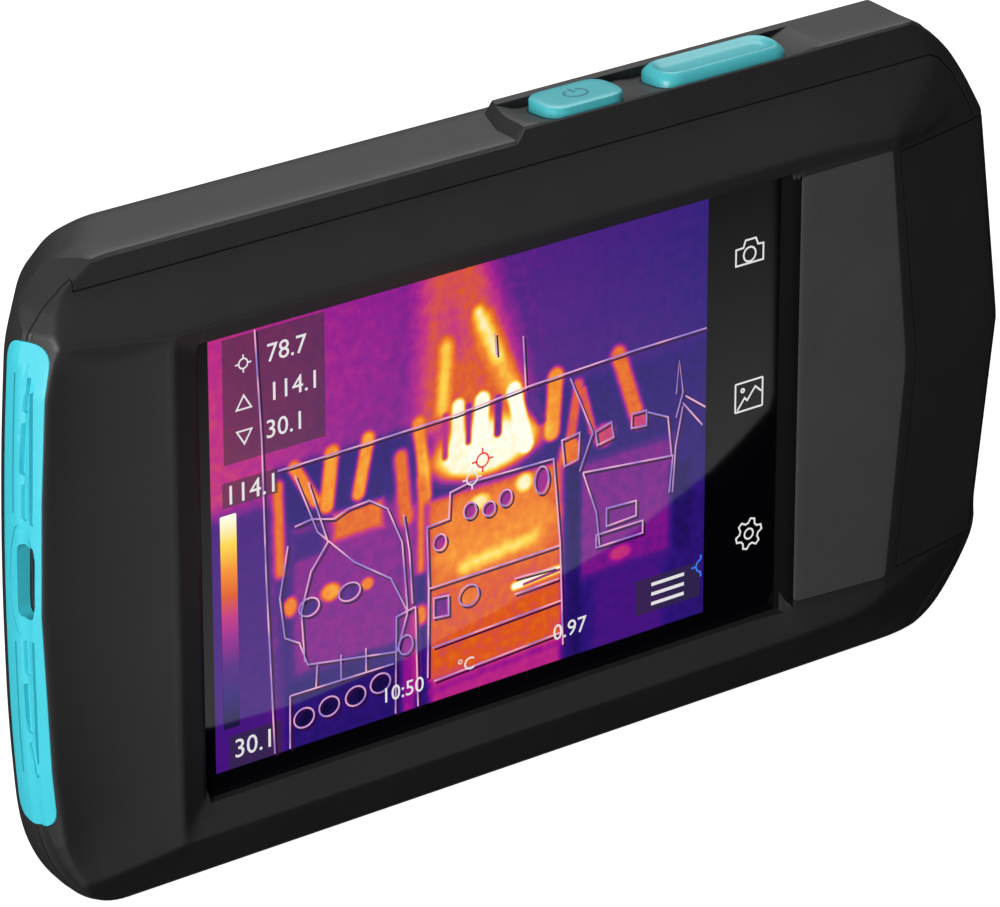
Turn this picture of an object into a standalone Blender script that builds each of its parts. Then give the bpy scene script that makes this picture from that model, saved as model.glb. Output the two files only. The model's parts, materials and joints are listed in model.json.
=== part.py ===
"""Pocket thermal imaging camera, modelled in Blender 4.5 as separate pieces.

Every piece is modelled in the screen's own frame, in metres: the centre of the screen picture is (0, 0, 0), X runs
right along the screen, Y runs away from the viewer into the case, and Z runs up. One empty carries that frame, and
its place puts the model's origin at the middle of the underside of the case.
"""
import math

import bmesh
import bpy
from mathutils import Matrix, Vector

MM = 0.001
GAP = 0.3 * MM                     # clearance between pieces that touch
SEGMENTS = 24                      # sides of a small round piece

# --- driving dimensions ---------------------------------------------------------------------------------------
CASE_TOP = 39.2 * MM               # low part of the top face, above the screen's centre
CASE_HEIGHT = 2 * CASE_TOP
FRONT_Y = -3.0 * MM                # ridge round the screen, the front-most line
BACK_Y = 20.6 * MM                 # flat back of the rear shell
LENS_Y = 21.6 * MM                 # outer face of the lens ring, the rear-most line
LEFT_X = -59.2 * MM
RIGHT_X = 82.4 * MM
SEAM_Y = 1.5 * MM                  # front shell meets rear shell
TONGUE_Y = 4.0 * MM                # the same seam on the left end
WALL = 2.2 * MM

SCREEN_HALF = Vector((35.05, 0, 26.3)) * MM
WINDOW = (-36.6 * MM, 46.3 * MM, -29.0 * MM, 27.2 * MM)      # opening over the glass: left, right, bottom, top

DOOR_WALL = 1.8 * MM
DOOR_TOP = 26.0 * MM
DOOR_BOTTOM = -28.0 * MM
HINGE = Vector((77.2, 13.2, 0)) * MM
BARREL_R = 2.0 * MM
PIN_R = 0.6 * MM

BLOCK_TOP = CASE_TOP + 1.4 * MM    # raised block that carries the buttons
BLOCK_LEFT = 9.0 * MM
TROUGH_FLOOR = CASE_TOP - 0.5 * MM

LENS_AT = Vector((28.0, 0, 17.5)) * MM
EYE_AT = Vector((44.5, 0, 17.5)) * MM
LAMP_AT = Vector((56.0, 0, 17.5)) * MM
SHUTTER_PIVOT = LENS_AT + Vector((11.0, 0, -7.0)) * MM

ORIGIN = Vector((-(LEFT_X + RIGHT_X) / 2, -(FRONT_Y + LENS_Y) / 2, CASE_TOP))

# Case outline seen from the front, clockwise from the top left, at the widest section.
OUTLINE = [
    (-48.0, 39.2), (58.3, 39.2), (69.2, 39.2), (72.6, 36.1), (75.4, 32.2), (78.8, 26.3),
    (82.4, -0.9), (79.1, -28.3), (76.6, -33.4), (73.4, -37.4), (69.2, -39.2), (58.3, -39.2), (-48.7, -39.2),
    (-52.6, -37.0), (-55.9, -32.8), (-58.1, -27.2), (-59.0, -15.0), (-59.2, 2.0), (-58.6, 18.0),
    (-57.5, 30.0), (-55.4, 34.4), (-51.8, 37.8),
]
SPLIT_TOP, SPLIT_BOTTOM = 1, 11    # outline points where the front face starts to fall away to the right


# --- scene and helpers ----------------------------------------------------------------------------------------
for old in list(bpy.data.objects):
    bpy.data.objects.remove(old, do_unlink=True)

parts = bpy.data.collections.new("thermal_camera")
tools = bpy.data.collections.new("cutters")
bpy.context.scene.collection.children.link(parts)
bpy.context.scene.collection.children.link(tools)

frame = bpy.data.objects.new("screen_frame", None)
frame.location = ORIGIN
parts.objects.link(frame)


def material(name, colour, roughness, metallic=0.0):
    made = bpy.data.materials.new(name)
    made.use_nodes = True
    shader = made.node_tree.nodes["Principled BSDF"]
    shader.inputs["Base Color"].default_value = (*colour, 1)
    shader.inputs["Roughness"].default_value = roughness
    shader.inputs["Metallic"].default_value = metallic
    return made


CASE_BLACK = material("case_black", (0.018, 0.018, 0.019), 0.5)
PAD_GREY = material("pad_grey", (0.04, 0.04, 0.042), 0.75)
CYAN = material("cyan_rubber", (0.10, 0.58, 0.68), 0.45)
GLASS = material("black_glass", (0.005, 0.005, 0.006), 0.05)
SCREEN = material("screen", (0.16, 0.03, 0.35), 0.2)
STEEL = material("steel", (0.55, 0.55, 0.56), 0.3, 1.0)
MAGNESIUM = material("magnesium", (0.35, 0.36, 0.37), 0.45, 1.0)
BRASS = material("brass", (0.78, 0.60, 0.28), 0.3, 1.0)
BOARD = material("circuit_board", (0.01, 0.12, 0.05), 0.45)
CELL = material("battery_wrap", (0.02, 0.05, 0.10), 0.5)
GERMANIUM = material("germanium", (0.12, 0.10, 0.11), 0.12, 0.8)
LENS_GLASS = material("lens_glass", (0.02, 0.02, 0.03), 0.04)
LAMP = material("lamp_lens", (0.85, 0.85, 0.78), 0.25)
CHIP = material("chip_black", (0.02, 0.02, 0.02), 0.55)


def place(obj, look, cutter=False):
    """Put an object in the screen's frame, in the parts or, as a cutter, out of the way of the build."""
    (tools if cutter else parts).objects.link(obj)
    if obj.name in bpy.context.scene.collection.objects:
        bpy.context.scene.collection.objects.unlink(obj)
    obj.parent = frame
    if cutter:
        obj.hide_render = True
        obj.display_type = "WIRE"
    else:
        obj.data.materials.clear()
        obj.data.materials.append(look)
    return obj


def from_bmesh(name, work, look=None, cutter=False):
    bmesh.ops.recalc_face_normals(work, faces=work.faces)
    if work.calc_volume(signed=True) < 0:
        bmesh.ops.reverse_faces(work, faces=work.faces)
    mesh = bpy.data.meshes.new(name)
    work.to_mesh(mesh)
    work.free()
    return place(bpy.data.objects.new(name, mesh), look, cutter)


def box(name, low, high, look=None, cutter=False, bevel=0.0):
    """Box between two corners, given in millimetres from the screen's centre."""
    low, high = Vector(low) * MM, Vector(high) * MM
    work = bmesh.new()
    bmesh.ops.create_cube(work, size=1.0)
    bmesh.ops.scale(work, vec=high - low, verts=work.verts)
    made = from_bmesh(name, work, look, cutter)
    made.location = (low + high) / 2
    if bevel:
        edge = made.modifiers.new("rounded_edges", "BEVEL")
        edge.width = bevel * MM
        edge.segments = 2
    return made


TURN = {"X": Matrix.Rotation(math.pi / 2, 4, "Y"), "Y": Matrix.Rotation(-math.pi / 2, 4, "X"), "Z": Matrix()}


def rod(name, centre, radius, start, end, axis="Y", look=None, cutter=False, sides=SEGMENTS, tip=None):
    """Cylinder or cone along an axis, from start to end on that axis, in metres."""
    work = bmesh.new()
    bmesh.ops.create_cone(work, cap_ends=True, segments=sides, radius1=radius,
                          radius2=radius if tip is None else tip, depth=end - start)
    made = from_bmesh(name, work, look, cutter)
    made.matrix_local = TURN[axis]
    at = Vector(centre)
    at["XYZ".index(axis)] = (start + end) / 2
    made.location = at
    made.data.shade_smooth()
    made.data.set_sharp_from_angle(angle=math.radians(40))
    return made


def turned(name, centre, profile, look):
    """Piece turned about a line along Y; the profile is (radius, y) in millimetres, outer side first."""
    mesh = bpy.data.meshes.new(name)
    points = [(radius * MM, 0, -depth * MM) for radius, depth in profile]
    loop = [(i, (i + 1) % len(points)) for i in range(len(points))]
    if profile[0][0] == 0:
        loop.pop()
    mesh.from_pydata(points, loop, [])
    made = place(bpy.data.objects.new(name, mesh), look)
    made.rotation_euler = (math.pi / 2, 0, 0)
    made.location = (centre.x, 0, centre.z)
    screw = made.modifiers.new("turned", "SCREW")
    screw.steps = screw.render_steps = SEGMENTS
    screw.use_merge_vertices = True
    screw.merge_threshold = 0.00001
    return made


def prism(name, outline, start, end, axis="Y", look=None, cutter=False, corner=0.0):
    """Flat outline in millimetres pushed from start to end (metres) along an axis, with rounded corners."""
    curve = bpy.data.curves.new(name, "CURVE")
    curve.dimensions = "2D"
    curve.fill_mode = "BOTH"
    curve.extrude = (end - start) / 2
    line = curve.splines.new("POLY")
    points = rounded([(u * MM, v * MM) for u, v in outline], corner * MM) if corner else \
        [(u * MM, v * MM) for u, v in outline]
    line.points.add(len(points) - 1)
    for spot, (u, v) in zip(line.points, points):
        spot.co = (u, v, 0, 1)
    line.use_cyclic_u = True
    shape = bpy.data.objects.new(name + "_outline", curve)
    bpy.context.scene.collection.objects.link(shape)
    mesh = bpy.data.meshes.new_from_object(shape.evaluated_get(bpy.context.evaluated_depsgraph_get()))
    bpy.data.objects.remove(shape)
    work = bmesh.new()
    work.from_mesh(mesh)
    bmesh.ops.remove_doubles(work, verts=work.verts, dist=0.000001)
    middle = (start + end) / 2
    for vert in work.verts:
        u, v, depth = vert.co
        vert.co = {"Y": (u, middle + depth, v), "X": (middle + depth, u, v), "Z": (u, v, middle + depth)}[axis]
    return from_bmesh(name, work, look, cutter)


def rounded(points, radius, steps=3):
    """Outline with each corner replaced by an arc of the given radius."""
    out = []
    for i, here in enumerate(points):
        here = Vector(here)
        before = (Vector(points[i - 1]) - here)
        after = (Vector(points[(i + 1) % len(points)]) - here)
        half = before.angle(after) / 2
        reach = min(radius / math.tan(half), 0.45 * before.length, 0.45 * after.length)
        start, end = here + before.normalized() * reach, here + after.normalized() * reach
        for k in range(steps + 1):
            t = k / steps
            out.append(tuple((1 - t) ** 2 * start + 2 * t * (1 - t) * here + t * t * end))
    return out


def loft(name, loops, look=None, cutter=False, cap_split=None):
    """Skin closed loops of equal count, first to last, and cap both ends."""
    work = bmesh.new()
    rings = [[work.verts.new(Vector(p)) for p in loop] for loop in loops]
    count = len(rings[0])
    for near, far in zip(rings, rings[1:]):
        for i in range(count):
            j = (i + 1) % count
            work.faces.new((near[i], near[j], far[j], far[i]))
    for ring in (rings[0], rings[-1]):
        if cap_split:
            first, second = cap_split
            work.faces.new(ring[first:second + 1])
            work.faces.new(ring[second:] + ring[:first + 1])
        else:
            work.faces.new(ring)
    bmesh.ops.triangulate(work, faces=[f for f in work.faces if len(f.verts) == 4])
    return from_bmesh(name, work, look, cutter)


def boolean(obj, cutter, how="DIFFERENCE"):
    cut = obj.modifiers.new(how.lower(), "BOOLEAN")
    cut.operation = how
    cut.object = cutter
    cut.solver = "EXACT"
    return obj


# --- the case's outer form ------------------------------------------------------------------------------------
def section(y, left=0.0, right=0.0, top=0.0, bottom=0.0, vee=1.0, left_y=None, right_y=None):
    """Outline drawn in from each side by the given millimetres, with the right-hand vee flattened by vee."""
    end_x = OUTLINE[5][0]
    ring = []
    for x, z in OUTLINE:
        if x > end_x:
            x = end_x + (x - end_x) * vee
        side = min(max((x - LEFT_X / MM) / (RIGHT_X / MM - LEFT_X / MM), 0), 1)
        across = min(max((z + CASE_TOP / MM) / (CASE_HEIGHT / MM), 0), 1)
        depth = y
        if left_y is not None:
            depth += (left_y - y) * min(max((-47.0 - x) / 8.0, 0), 1)
        if right_y is not None:
            depth += (right_y - y) * min(max((x - OUTLINE[SPLIT_TOP][0]) / 24.0, 0), 1)
        ring.append(Vector((x + left * (1 - side) - right * side, depth, z + bottom * (1 - across) - top * across)) * MM)
    return ring


def case_form(name, inset=0.0):
    """Outer form of the closed case, or the same form with every face moved in by inset millimetres."""
    d = inset
    rings = [
        section(-3.0 + d, left=18.0 + d * 0.3, right=17.6 + d * 0.3, top=9.6 + d * 0.3, bottom=7.0 + d * 0.3,
                right_y=-1.4 + d),
        section(1.2 + d, left=1.9 + d, right=1.6 + d, top=3.3 + d * 0.8, bottom=0.9 + d, left_y=-1.0 + d * 0.8),
        section(1.4 + d, left=0.9 + d, right=0.5 + d, top=0.5 + d, bottom=0.5 + d, left_y=0.2 + d * 0.6),
        section(2.4 + d * 0.8, left=d, right=d, top=d, bottom=d),
        section(5.4, left=d, right=d, top=d, bottom=d, vee=0.8),
        section(12.2, left=5.4 + d, right=d, top=d, bottom=d, vee=0.1),
        section(15.8, left=8.3 + d, right=2.7 + d, top=2.4 + d, bottom=d, vee=0.1),
        section(20.6 - d, left=12.2 + d, right=6.4 + d, top=5.7 + d, bottom=3.8 + d, vee=0.1),
    ]
    return loft(name, rings, CASE_BLACK, cutter=True, cap_split=(SPLIT_TOP, SPLIT_BOTTOM))


def copy_of(source, name, look):
    made = bpy.data.objects.new(name, source.data.copy())
    return place(made, look)


form = case_form("case_form")
door_core = case_form("door_core", inset=DOOR_WALL / MM)


# --- cutters shared by the shells and the door ----------------------------------------------------------------
def door_outline(grow):
    return [(62.9 - grow, 26.0 + grow), (66.4 - grow, -0.9), (64.1 - grow, -28.0 - grow), (95, -28.0 - grow),
            (95, 26.0 + grow)]


def stadium(y0, y1, z0, z1, steps=8):
    """Outline with half-round ends along its second coordinate."""
    radius = (y1 - y0) / 2
    middle = (y0 + y1) / 2
    top = [(middle + radius * math.cos(a), z1 - radius + radius * math.sin(a))
           for a in (math.pi * k / steps for k in range(steps + 1))]
    low = [(middle + radius * math.cos(a), z0 + radius + radius * math.sin(a))
           for a in (math.pi * (1 + k / steps) for k in range(steps + 1))]
    return top + low


door_zone = prism("door_zone", door_outline(0.0), -10 * MM, HINGE.y, cutter=True, corner=1.0)
lip_seat = prism("lip_seat", door_outline(0.25), -11 * MM, 3 * MM, cutter=True, corner=1.2)
door_back_seat = box("door_back_seat", (76.0, 10.5, -28.45), (95, 13.4, 26.45), cutter=True)
barrel_seat = rod("barrel_seat", HINGE, BARREL_R + 0.4 * MM, DOOR_BOTTOM - 2 * GAP, DOOR_TOP + 2 * GAP, "Z", cutter=True)
pin_bore = rod("pin_bore", HINGE, PIN_R + GAP, DOOR_BOTTOM - 4 * MM, DOOR_TOP + 4 * MM, "Z", cutter=True)
bay = box("connector_bay", (68.2, -12, -28.3), (95, 11.0, 26.3), cutter=True)

insert_zone = prism("insert_zone", stadium(-0.9, 4.7, -26.2, 31.4), -75 * MM, -56.9 * MM, "X", cutter=True)
insert_seat = prism("insert_seat", stadium(-1.2, 5.0, -26.5, 31.7), -76 * MM, -56.6 * MM, "X", cutter=True)
strap_slot = prism("strap_slot", stadium(-0.15, 2.25, -0.6, 8.2), -77 * MM, -55.0 * MM, "X", cutter=True)
strap_room = prism("strap_room", stadium(-0.3, 3.3, -1.6, 9.2), -57.2 * MM, -53.4 * MM, "X", cutter=True)
STRAP_BAR = Vector((-55.2, 0, 3.8)) * MM
bar_bore = rod("bar_bore", STRAP_BAR, 0.9 * MM, -0.8 * MM, 3.8 * MM, cutter=True, sides=12)

SHELL_SCREWS = [(-41, 26), (-41, -26), (4.5, 31.2), (4.5, -32.3), (57.5, 31.2), (57.5, -32.3)]
screw_holes = []
for number, (x, z) in enumerate(SHELL_SCREWS, 1):
    at = Vector((x, 0, z)) * MM
    hole = rod(f"screw_hole_{number}", at, 1.2 * MM, 0.0, 15 * MM, cutter=True, sides=12)
    sink = rod(f"screw_sink_{number}", at, 2.3 * MM, 14 * MM, 30 * MM, cutter=True, sides=16)
    screw_holes.append((hole, sink))

# --- rear shell: back half of the case, with the button block, screw bosses and the connector bulkhead --------
BLOCK = [(8.3, 37.5), (8.5, 39.2), (9.7, 40.6), (66.9, 40.6), (69.4, 39.1), (69.4, 37.5)]
rear_shell = copy_of(form, "rear_shell", CASE_BLACK)
boolean(rear_shell, prism("button_block", BLOCK, 1.35 * MM, 10.6 * MM, cutter=True), "UNION")
boolean(rear_shell, box("front_zone", (-90, -20, -60), (110, 1.8, 60), cutter=True))
boolean(rear_shell, box("tongue_seat", (-90, 1.0, -60), (-52.8, 4.3, 60), cutter=True))
cavity = loft("rear_cavity", [
    section(0.5, left=2.4, right=17.2, top=2.4, bottom=2.4, vee=0),
    section(12.2, left=7.8, right=17.2, top=2.4, bottom=2.4, vee=0),
    section(15.4, left=10.8, right=17.2, top=4.6, bottom=2.4, vee=0),
    section(18.4, left=13.8, right=17.2, top=6.4, bottom=4.6, vee=0),
], cutter=True)
boolean(rear_shell, cavity)
for number, (x, z) in enumerate(SHELL_SCREWS, 1):
    boss = rod(f"screw_boss_{number}", Vector((x, 0, z)) * MM, 3.3 * MM, 3.9 * MM, 18.9 * MM, cutter=True, sides=16)
    boolean(rear_shell, boss, "UNION")
TRIPOD = Vector((20.0, 8.8, 0)) * MM
tripod_boss = rod("tripod_boss", TRIPOD, 6.2 * MM, -38.5 * MM, -30.2 * MM, "Z", cutter=True)
boolean(rear_shell, tripod_boss, "UNION")
boolean(rear_shell, rod("tripod_hole", TRIPOD, 4.8 * MM, -45 * MM, -32.2 * MM, "Z", cutter=True))
boolean(rear_shell, bay)
boolean(rear_shell, lip_seat)
boolean(rear_shell, door_back_seat)
boolean(rear_shell, barrel_seat)
boolean(rear_shell, pin_bore)
boolean(rear_shell, insert_seat)
for hole, sink in screw_holes:
    boolean(rear_shell, hole)
    boolean(rear_shell, sink)

BUTTONS = {"power": (14.1, 25.1), "capture": (30.4, 48.9)}
BUTTON_Y = (1.5, 8.3)
trough = prism("button_trough", rounded([(11.6, 1.9 - 1.0), (54.0, 0.9), (54.0, 9.2), (11.6, 9.2)], 2.5),
               TROUGH_FLOOR, 50 * MM, "Z", cutter=True)
boolean(rear_shell, trough)
for name, (x0, x1) in BUTTONS.items():
    middle = (x0 + x1) / 2
    boolean(rear_shell, box(f"{name}_stem_hole", (middle - 2.3, 3.1, 30), (middle + 2.3, 6.7, 45), cutter=True))

plate_outline = rounded([(14.7, 6.7), (63.3, 6.7), (63.3, 28.3), (14.7, 28.3)], 4.3)
boolean(rear_shell, prism("plate_seat", plate_outline, 19.4 * MM, 30 * MM, cutter=True))
boolean(rear_shell, rod("lens_hole", LENS_AT, 7.6 * MM, 15 * MM, 30 * MM, cutter=True, sides=32))
boolean(rear_shell, rod("eye_hole", EYE_AT, 3.3 * MM, 15 * MM, 30 * MM, cutter=True))
boolean(rear_shell, rod("lamp_hole", LAMP_AT, 3.4 * MM, 15 * MM, 30 * MM, cutter=True))
boolean(rear_shell, box("usb_hole", (59, 5.2, -4.8), (70, 9.0, 4.8), cutter=True))
boolean(rear_shell, box("card_hole", (59, 6.5, 7.7), (70, 9.0, 20.3), cutter=True))

# --- front shell: bezel plate with the screen recess, the thumb rest and the tongue on the left end -----------
front_shell = copy_of(form, "front_shell", CASE_BLACK)
behind = [(-53.1, 1.5), (120, 1.5), (120, 60), (-120, 60), (-120, 4.0), (-53.1, 4.0)]
boolean(front_shell, prism("behind_zone", behind, -80 * MM, 80 * MM, "Z", cutter=True))


def frustum(name, y_out, outer, y_in, inner):
    """Tapered pocket between two rectangles given as left, right, bottom, top."""
    loops = []
    for y, (left, right, bottom, top) in ((y_out, outer), (y_in, inner)):
        loops.append([Vector(p) * MM for p in ((left, y, top), (right, y, top), (right, y, bottom), (left, y, bottom))])
    return loft(name, loops, cutter=True)


boolean(front_shell, frustum("screen_recess", -3.6, (-41.6, 46.9, -32.9, 30.3), -0.9, (-36.8, 46.5, -29.2, 27.4)))
PANEL_OUTLINE = [(47.2, 26.8), (61.6, 26.8), (64.6, -0.9), (62.3, -28.6), (47.2, -28.6)]
boolean(front_shell, prism("pad_seat", PANEL_OUTLINE, -8 * MM, -1.0 * MM, cutter=True))
left, right, bottom, top = WINDOW
boolean(front_shell, box("glass_opening", (left / MM, -6, bottom / MM), (right / MM, 6, top / MM), cutter=True))
boolean(front_shell, box("glass_pocket", (-38.6, -0.3, -30.9), (48.4, 6, 29.1), cutter=True))
boolean(front_shell, lip_seat)
boolean(front_shell, insert_seat)
boolean(front_shell, strap_room)
boolean(front_shell, bar_bore)
for hole, sink in screw_holes:
    boolean(front_shell, hole)

thumb_pad = prism("thumb_pad", [(47.5, 26.5), (61.4, 26.5), (64.3, -0.9), (62.0, -28.3), (47.5, -28.3)],
                  -1.8 * MM, -1.3 * MM, look=PAD_GREY)

# --- end insert, strap bar ------------------------------------------------------------------------------------
end_insert = copy_of(form, "end_insert", CYAN)
boolean(end_insert, insert_zone, "INTERSECT")
boolean(end_insert, strap_slot)
strap_bar = rod("strap_bar", STRAP_BAR, 0.6 * MM, -0.5 * MM, 3.5 * MM, look=STEEL, sides=12)

# --- connector door on its pin --------------------------------------------------------------------------------
connector_door = copy_of(form, "connector_door", CASE_BLACK)
boolean(connector_door, door_zone, "INTERSECT")
boolean(connector_door, door_core)
barrel = rod("door_barrel", HINGE, BARREL_R, DOOR_BOTTOM, DOOR_TOP, "Z", cutter=True)
boolean(connector_door, barrel, "UNION")
boolean(connector_door, pin_bore)
door_pin = rod("door_pin", HINGE, PIN_R, DOOR_BOTTOM - 3.6 * MM, DOOR_TOP + 3.6 * MM, "Z", look=STEEL, sides=16)

# --- screen stack ---------------------------------------------------------------------------------------------
cover_glass = box("cover_glass", (-38.2, 0.0, -30.5), (48.0, 1.0, 28.7), look=GLASS)
lcd_module = box("lcd_module", (-36.7, 1.3, -28.0), (36.7, 3.4, 28.0), look=SCREEN)
BOARD_SCREWS = [(-0.5, 22.5), (55, 22.5), (-0.5, -25), (55, -25)]
midframe = box("midframe", (-49, 3.7, -28.6), (59.8, 4.7, 28.6), look=MAGNESIUM)
boss_notches = [rod(f"boss_notch_{number}", Vector((x, 0, z)) * MM, 3.8 * MM, 3.0 * MM, 12.0 * MM, cutter=True)
                for number, (x, z) in enumerate(SHELL_SCREWS, 1)]
for notch in (boss_notches[0], boss_notches[1], boss_notches[2], boss_notches[4]):
    boolean(midframe, notch)
for number, (x, z) in enumerate(BOARD_SCREWS, 1):
    at = Vector((x, 0, z)) * MM
    post = rod(f"board_post_{number}", at, 1.9 * MM, 4.0 * MM, 8.7 * MM, cutter=True, sides=16)
    boolean(midframe, post, "UNION")
    boolean(midframe, rod(f"post_bore_{number}", at, 1.1 * MM, 3.0 * MM, 9.5 * MM, cutter=True, sides=12))

# --- electronics ----------------------------------------------------------------------------------------------
battery = box("battery", (-42, 5.0, -22), (-5, 13.0, 22), look=CELL, bevel=0.8)
main_board = box("main_board", (-3, 9.0, -28.4), (60.0, 10.0, 28.4), look=BOARD)
boolean(main_board, boss_notches[2])
boolean(main_board, boss_notches[4])
for number, (x, z) in enumerate(BOARD_SCREWS, 1):
    at = Vector((x, 0, z)) * MM
    boolean(main_board, rod(f"board_hole_{number}", at, 1.1 * MM, 8.0 * MM, 11.0 * MM, cutter=True, sides=12))
processor_shield = box("processor_shield", (14, 6.2, -22), (34, 8.7, -4), look=STEEL, bevel=0.3)
usb_c_socket = box("usb_c_socket", (60.0, 5.5, -4.5), (68.4, 8.7, 4.5), look=STEEL)
boolean(usb_c_socket, box("usb_mouth", (62.5, 5.9, -4.1), (70, 8.3, 4.1), cutter=True))
boolean(usb_c_socket, box("usb_tongue", (62.0, 6.8, -3.0), (68.0, 7.4, 3.0), cutter=True), "UNION")
card_socket = box("card_socket", (53, 6.8, 8.0), (68.0, 8.7, 20.0), look=STEEL)
boolean(card_socket, box("card_mouth", (56, 7.2, 8.5), (70, 8.2, 19.5), cutter=True))
speaker = box("speaker", (-51, 5.6, -21), (-43.5, 10.0, -7), look=CHIP, bevel=0.6)
microphone = box("microphone", (-52.0, 6.0, 14), (-49.4, 7.4, 18), look=STEEL)

# --- thermal camera, calibration shutter, picture camera and lamp ---------------------------------------------
thermal_sensor = box("thermal_sensor", (22.2, 10.3, 11.7), (33.8, 12.5, 23.3), look=CHIP)
sensor_frame = box("sensor_frame", (20, 10.3, 9.5), (36, 13.4, 25.5), look=MAGNESIUM)
boolean(sensor_frame, box("frame_window", (21.6, 8, 11.1), (34.4, 15, 23.9), cutter=True))
shutter_motor = rod("shutter_motor", SHUTTER_PIVOT, 2.4 * MM, 10.3 * MM, 13.4 * MM, look=STEEL)
boolean(shutter_motor, rod("shutter_shaft", SHUTTER_PIVOT, 0.6 * MM, 13.0 * MM, 14.6 * MM, cutter=True, sides=12), "UNION")



def hang(obj, name, at):
    """Parent a moving piece to an empty on its joint's axis."""
    pivot = bpy.data.objects.new(name, None)
    pivot.location = at
    pivot.parent = frame
    parts.objects.link(pivot)
    obj.parent = pivot
    obj.location = obj.location - Vector(at)
    return obj


PARK = math.radians(202.5)         # direction of the open blade from its pivot
REACH = 13.0                       # pivot to the middle of the blade's disc, mm
BLADE_R = 5.9
arm_end = Vector((math.cos(PARK), math.sin(PARK)))
side_way = Vector((-arm_end.y, arm_end.x))
blade = []
for k in range(17):
    a = PARK - math.radians(162) + math.radians(324) * k / 16
    blade.append(tuple(arm_end * REACH + Vector((math.cos(a), math.sin(a))) * BLADE_R))
for k in range(9):
    a = PARK + math.radians(100) + math.radians(160) * k / 8
    blade.append((2.2 * math.cos(a), 2.2 * math.sin(a)))
shutter_blade = prism("shutter_blade", blade, 13.8 * MM, 14.1 * MM, look=STEEL)
boolean(shutter_blade, rod("blade_hole", Vector((0, 0, 0)), 0.9 * MM, 13 * MM, 15 * MM, cutter=True, sides=12))
bpy.data.objects["blade_hole"].location += SHUTTER_PIVOT
shutter_blade.location = SHUTTER_PIVOT
hang(shutter_blade, "shutter_axis", SHUTTER_PIVOT)
hang(connector_door, "door_axis", HINGE)

lens_barrel = turned("lens_barrel", LENS_AT, [(8.4, 14.6), (8.4, 16.0), (7.3, 16.0), (7.3, 20.3), (6.0, 20.3),
                                              (6.0, 14.6)], MAGNESIUM)
thermal_lens = turned("thermal_lens", LENS_AT, [(0, 17.4), (5.7, 17.4), (5.7, 19.2), (4.6, 19.7), (3.0, 20.1),
                                                (1.5, 20.3), (0, 20.35)], GERMANIUM)
lens_ring = turned("lens_ring", LENS_AT, [(8.6, 19.7), (8.6, 21.2), (8.2, 21.6), (7.4, 21.6), (6.4, 20.7),
                                          (7.6, 20.6), (7.6, 19.7)], MAGNESIUM)
plate_face = rounded([(15, 7), (63, 7), (63, 28), (15, 28)], 4.0)
camera_plate = prism("camera_plate", plate_face, 19.7 * MM, 20.9 * MM, look=GLASS)
boolean(camera_plate, rod("ring_hole", LENS_AT, 8.9 * MM, 19 * MM, 22 * MM, cutter=True, sides=32))
boolean(camera_plate, rod("window_hole", EYE_AT, 3.9 * MM, 19 * MM, 22 * MM, cutter=True))
boolean(camera_plate, rod("lamp_window", LAMP_AT, 3.4 * MM, 19 * MM, 22 * MM, cutter=True))
visible_camera = box("visible_camera", (40.3, 12, 13.3), (48.7, 17.4, 21.7), look=CHIP)
boolean(visible_camera, rod("eye_barrel", EYE_AT, 3.0 * MM, 17 * MM, 19.6 * MM, cutter=True), "UNION")
camera_window = rod("camera_window", EYE_AT, 3.6 * MM, 19.9 * MM, 20.7 * MM, look=LENS_GLASS)
lamp_board = box("lamp_board", (51.5, 15.8, 13.5), (60.5, 16.8, 21.5), look=BOARD)
lamp_lens = rod("lamp_lens", LAMP_AT, 3.1 * MM, 17.1 * MM, 20.7 * MM, look=LAMP)

# --- buttons, their switches and plungers ---------------------------------------------------------------------
button_board = box("button_board", (13, 2.6, 30.6), (53, 8.2, 31.4), look=BOARD)
for name, (x0, x1) in BUTTONS.items():
    middle = (x0 + x1) / 2
    centre = Vector((middle, 4.9, 0)) * MM
    pad = rounded([(x0, BUTTON_Y[0]), (x1, BUTTON_Y[0]), (x1, BUTTON_Y[1]), (x0, BUTTON_Y[1])], 3.3)
    button = prism(f"{name}_button", pad, 39.5 * MM, 41.5 * MM, "Z", look=CYAN)
    stem = box(f"{name}_stem", (middle - 2.0, 3.4, 35.4), (middle + 2.0, 6.4, 40.0), cutter=True)
    boolean(button, stem, "UNION")
    hang(button, f"{name}_slide", centre + Vector((0, 0, 39.5 * MM)))
    switch = box(f"{name}_switch", (middle - 3.0, 2.8, 31.7), (middle + 3.0, 7.0, 34.0), look=CHIP)
    boolean(switch, rod(f"{name}_switch_bore", centre, 1.2 * MM, 32.2 * MM, 36 * MM, "Z", cutter=True, sides=16))
    plunger = rod(f"{name}_plunger", centre, 0.9 * MM, 33.2 * MM, 35.1 * MM, "Z", look=STEEL, sides=16)
    hang(plunger, f"{name}_plunger_slide", centre + Vector((0, 0, 34 * MM)))

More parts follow.
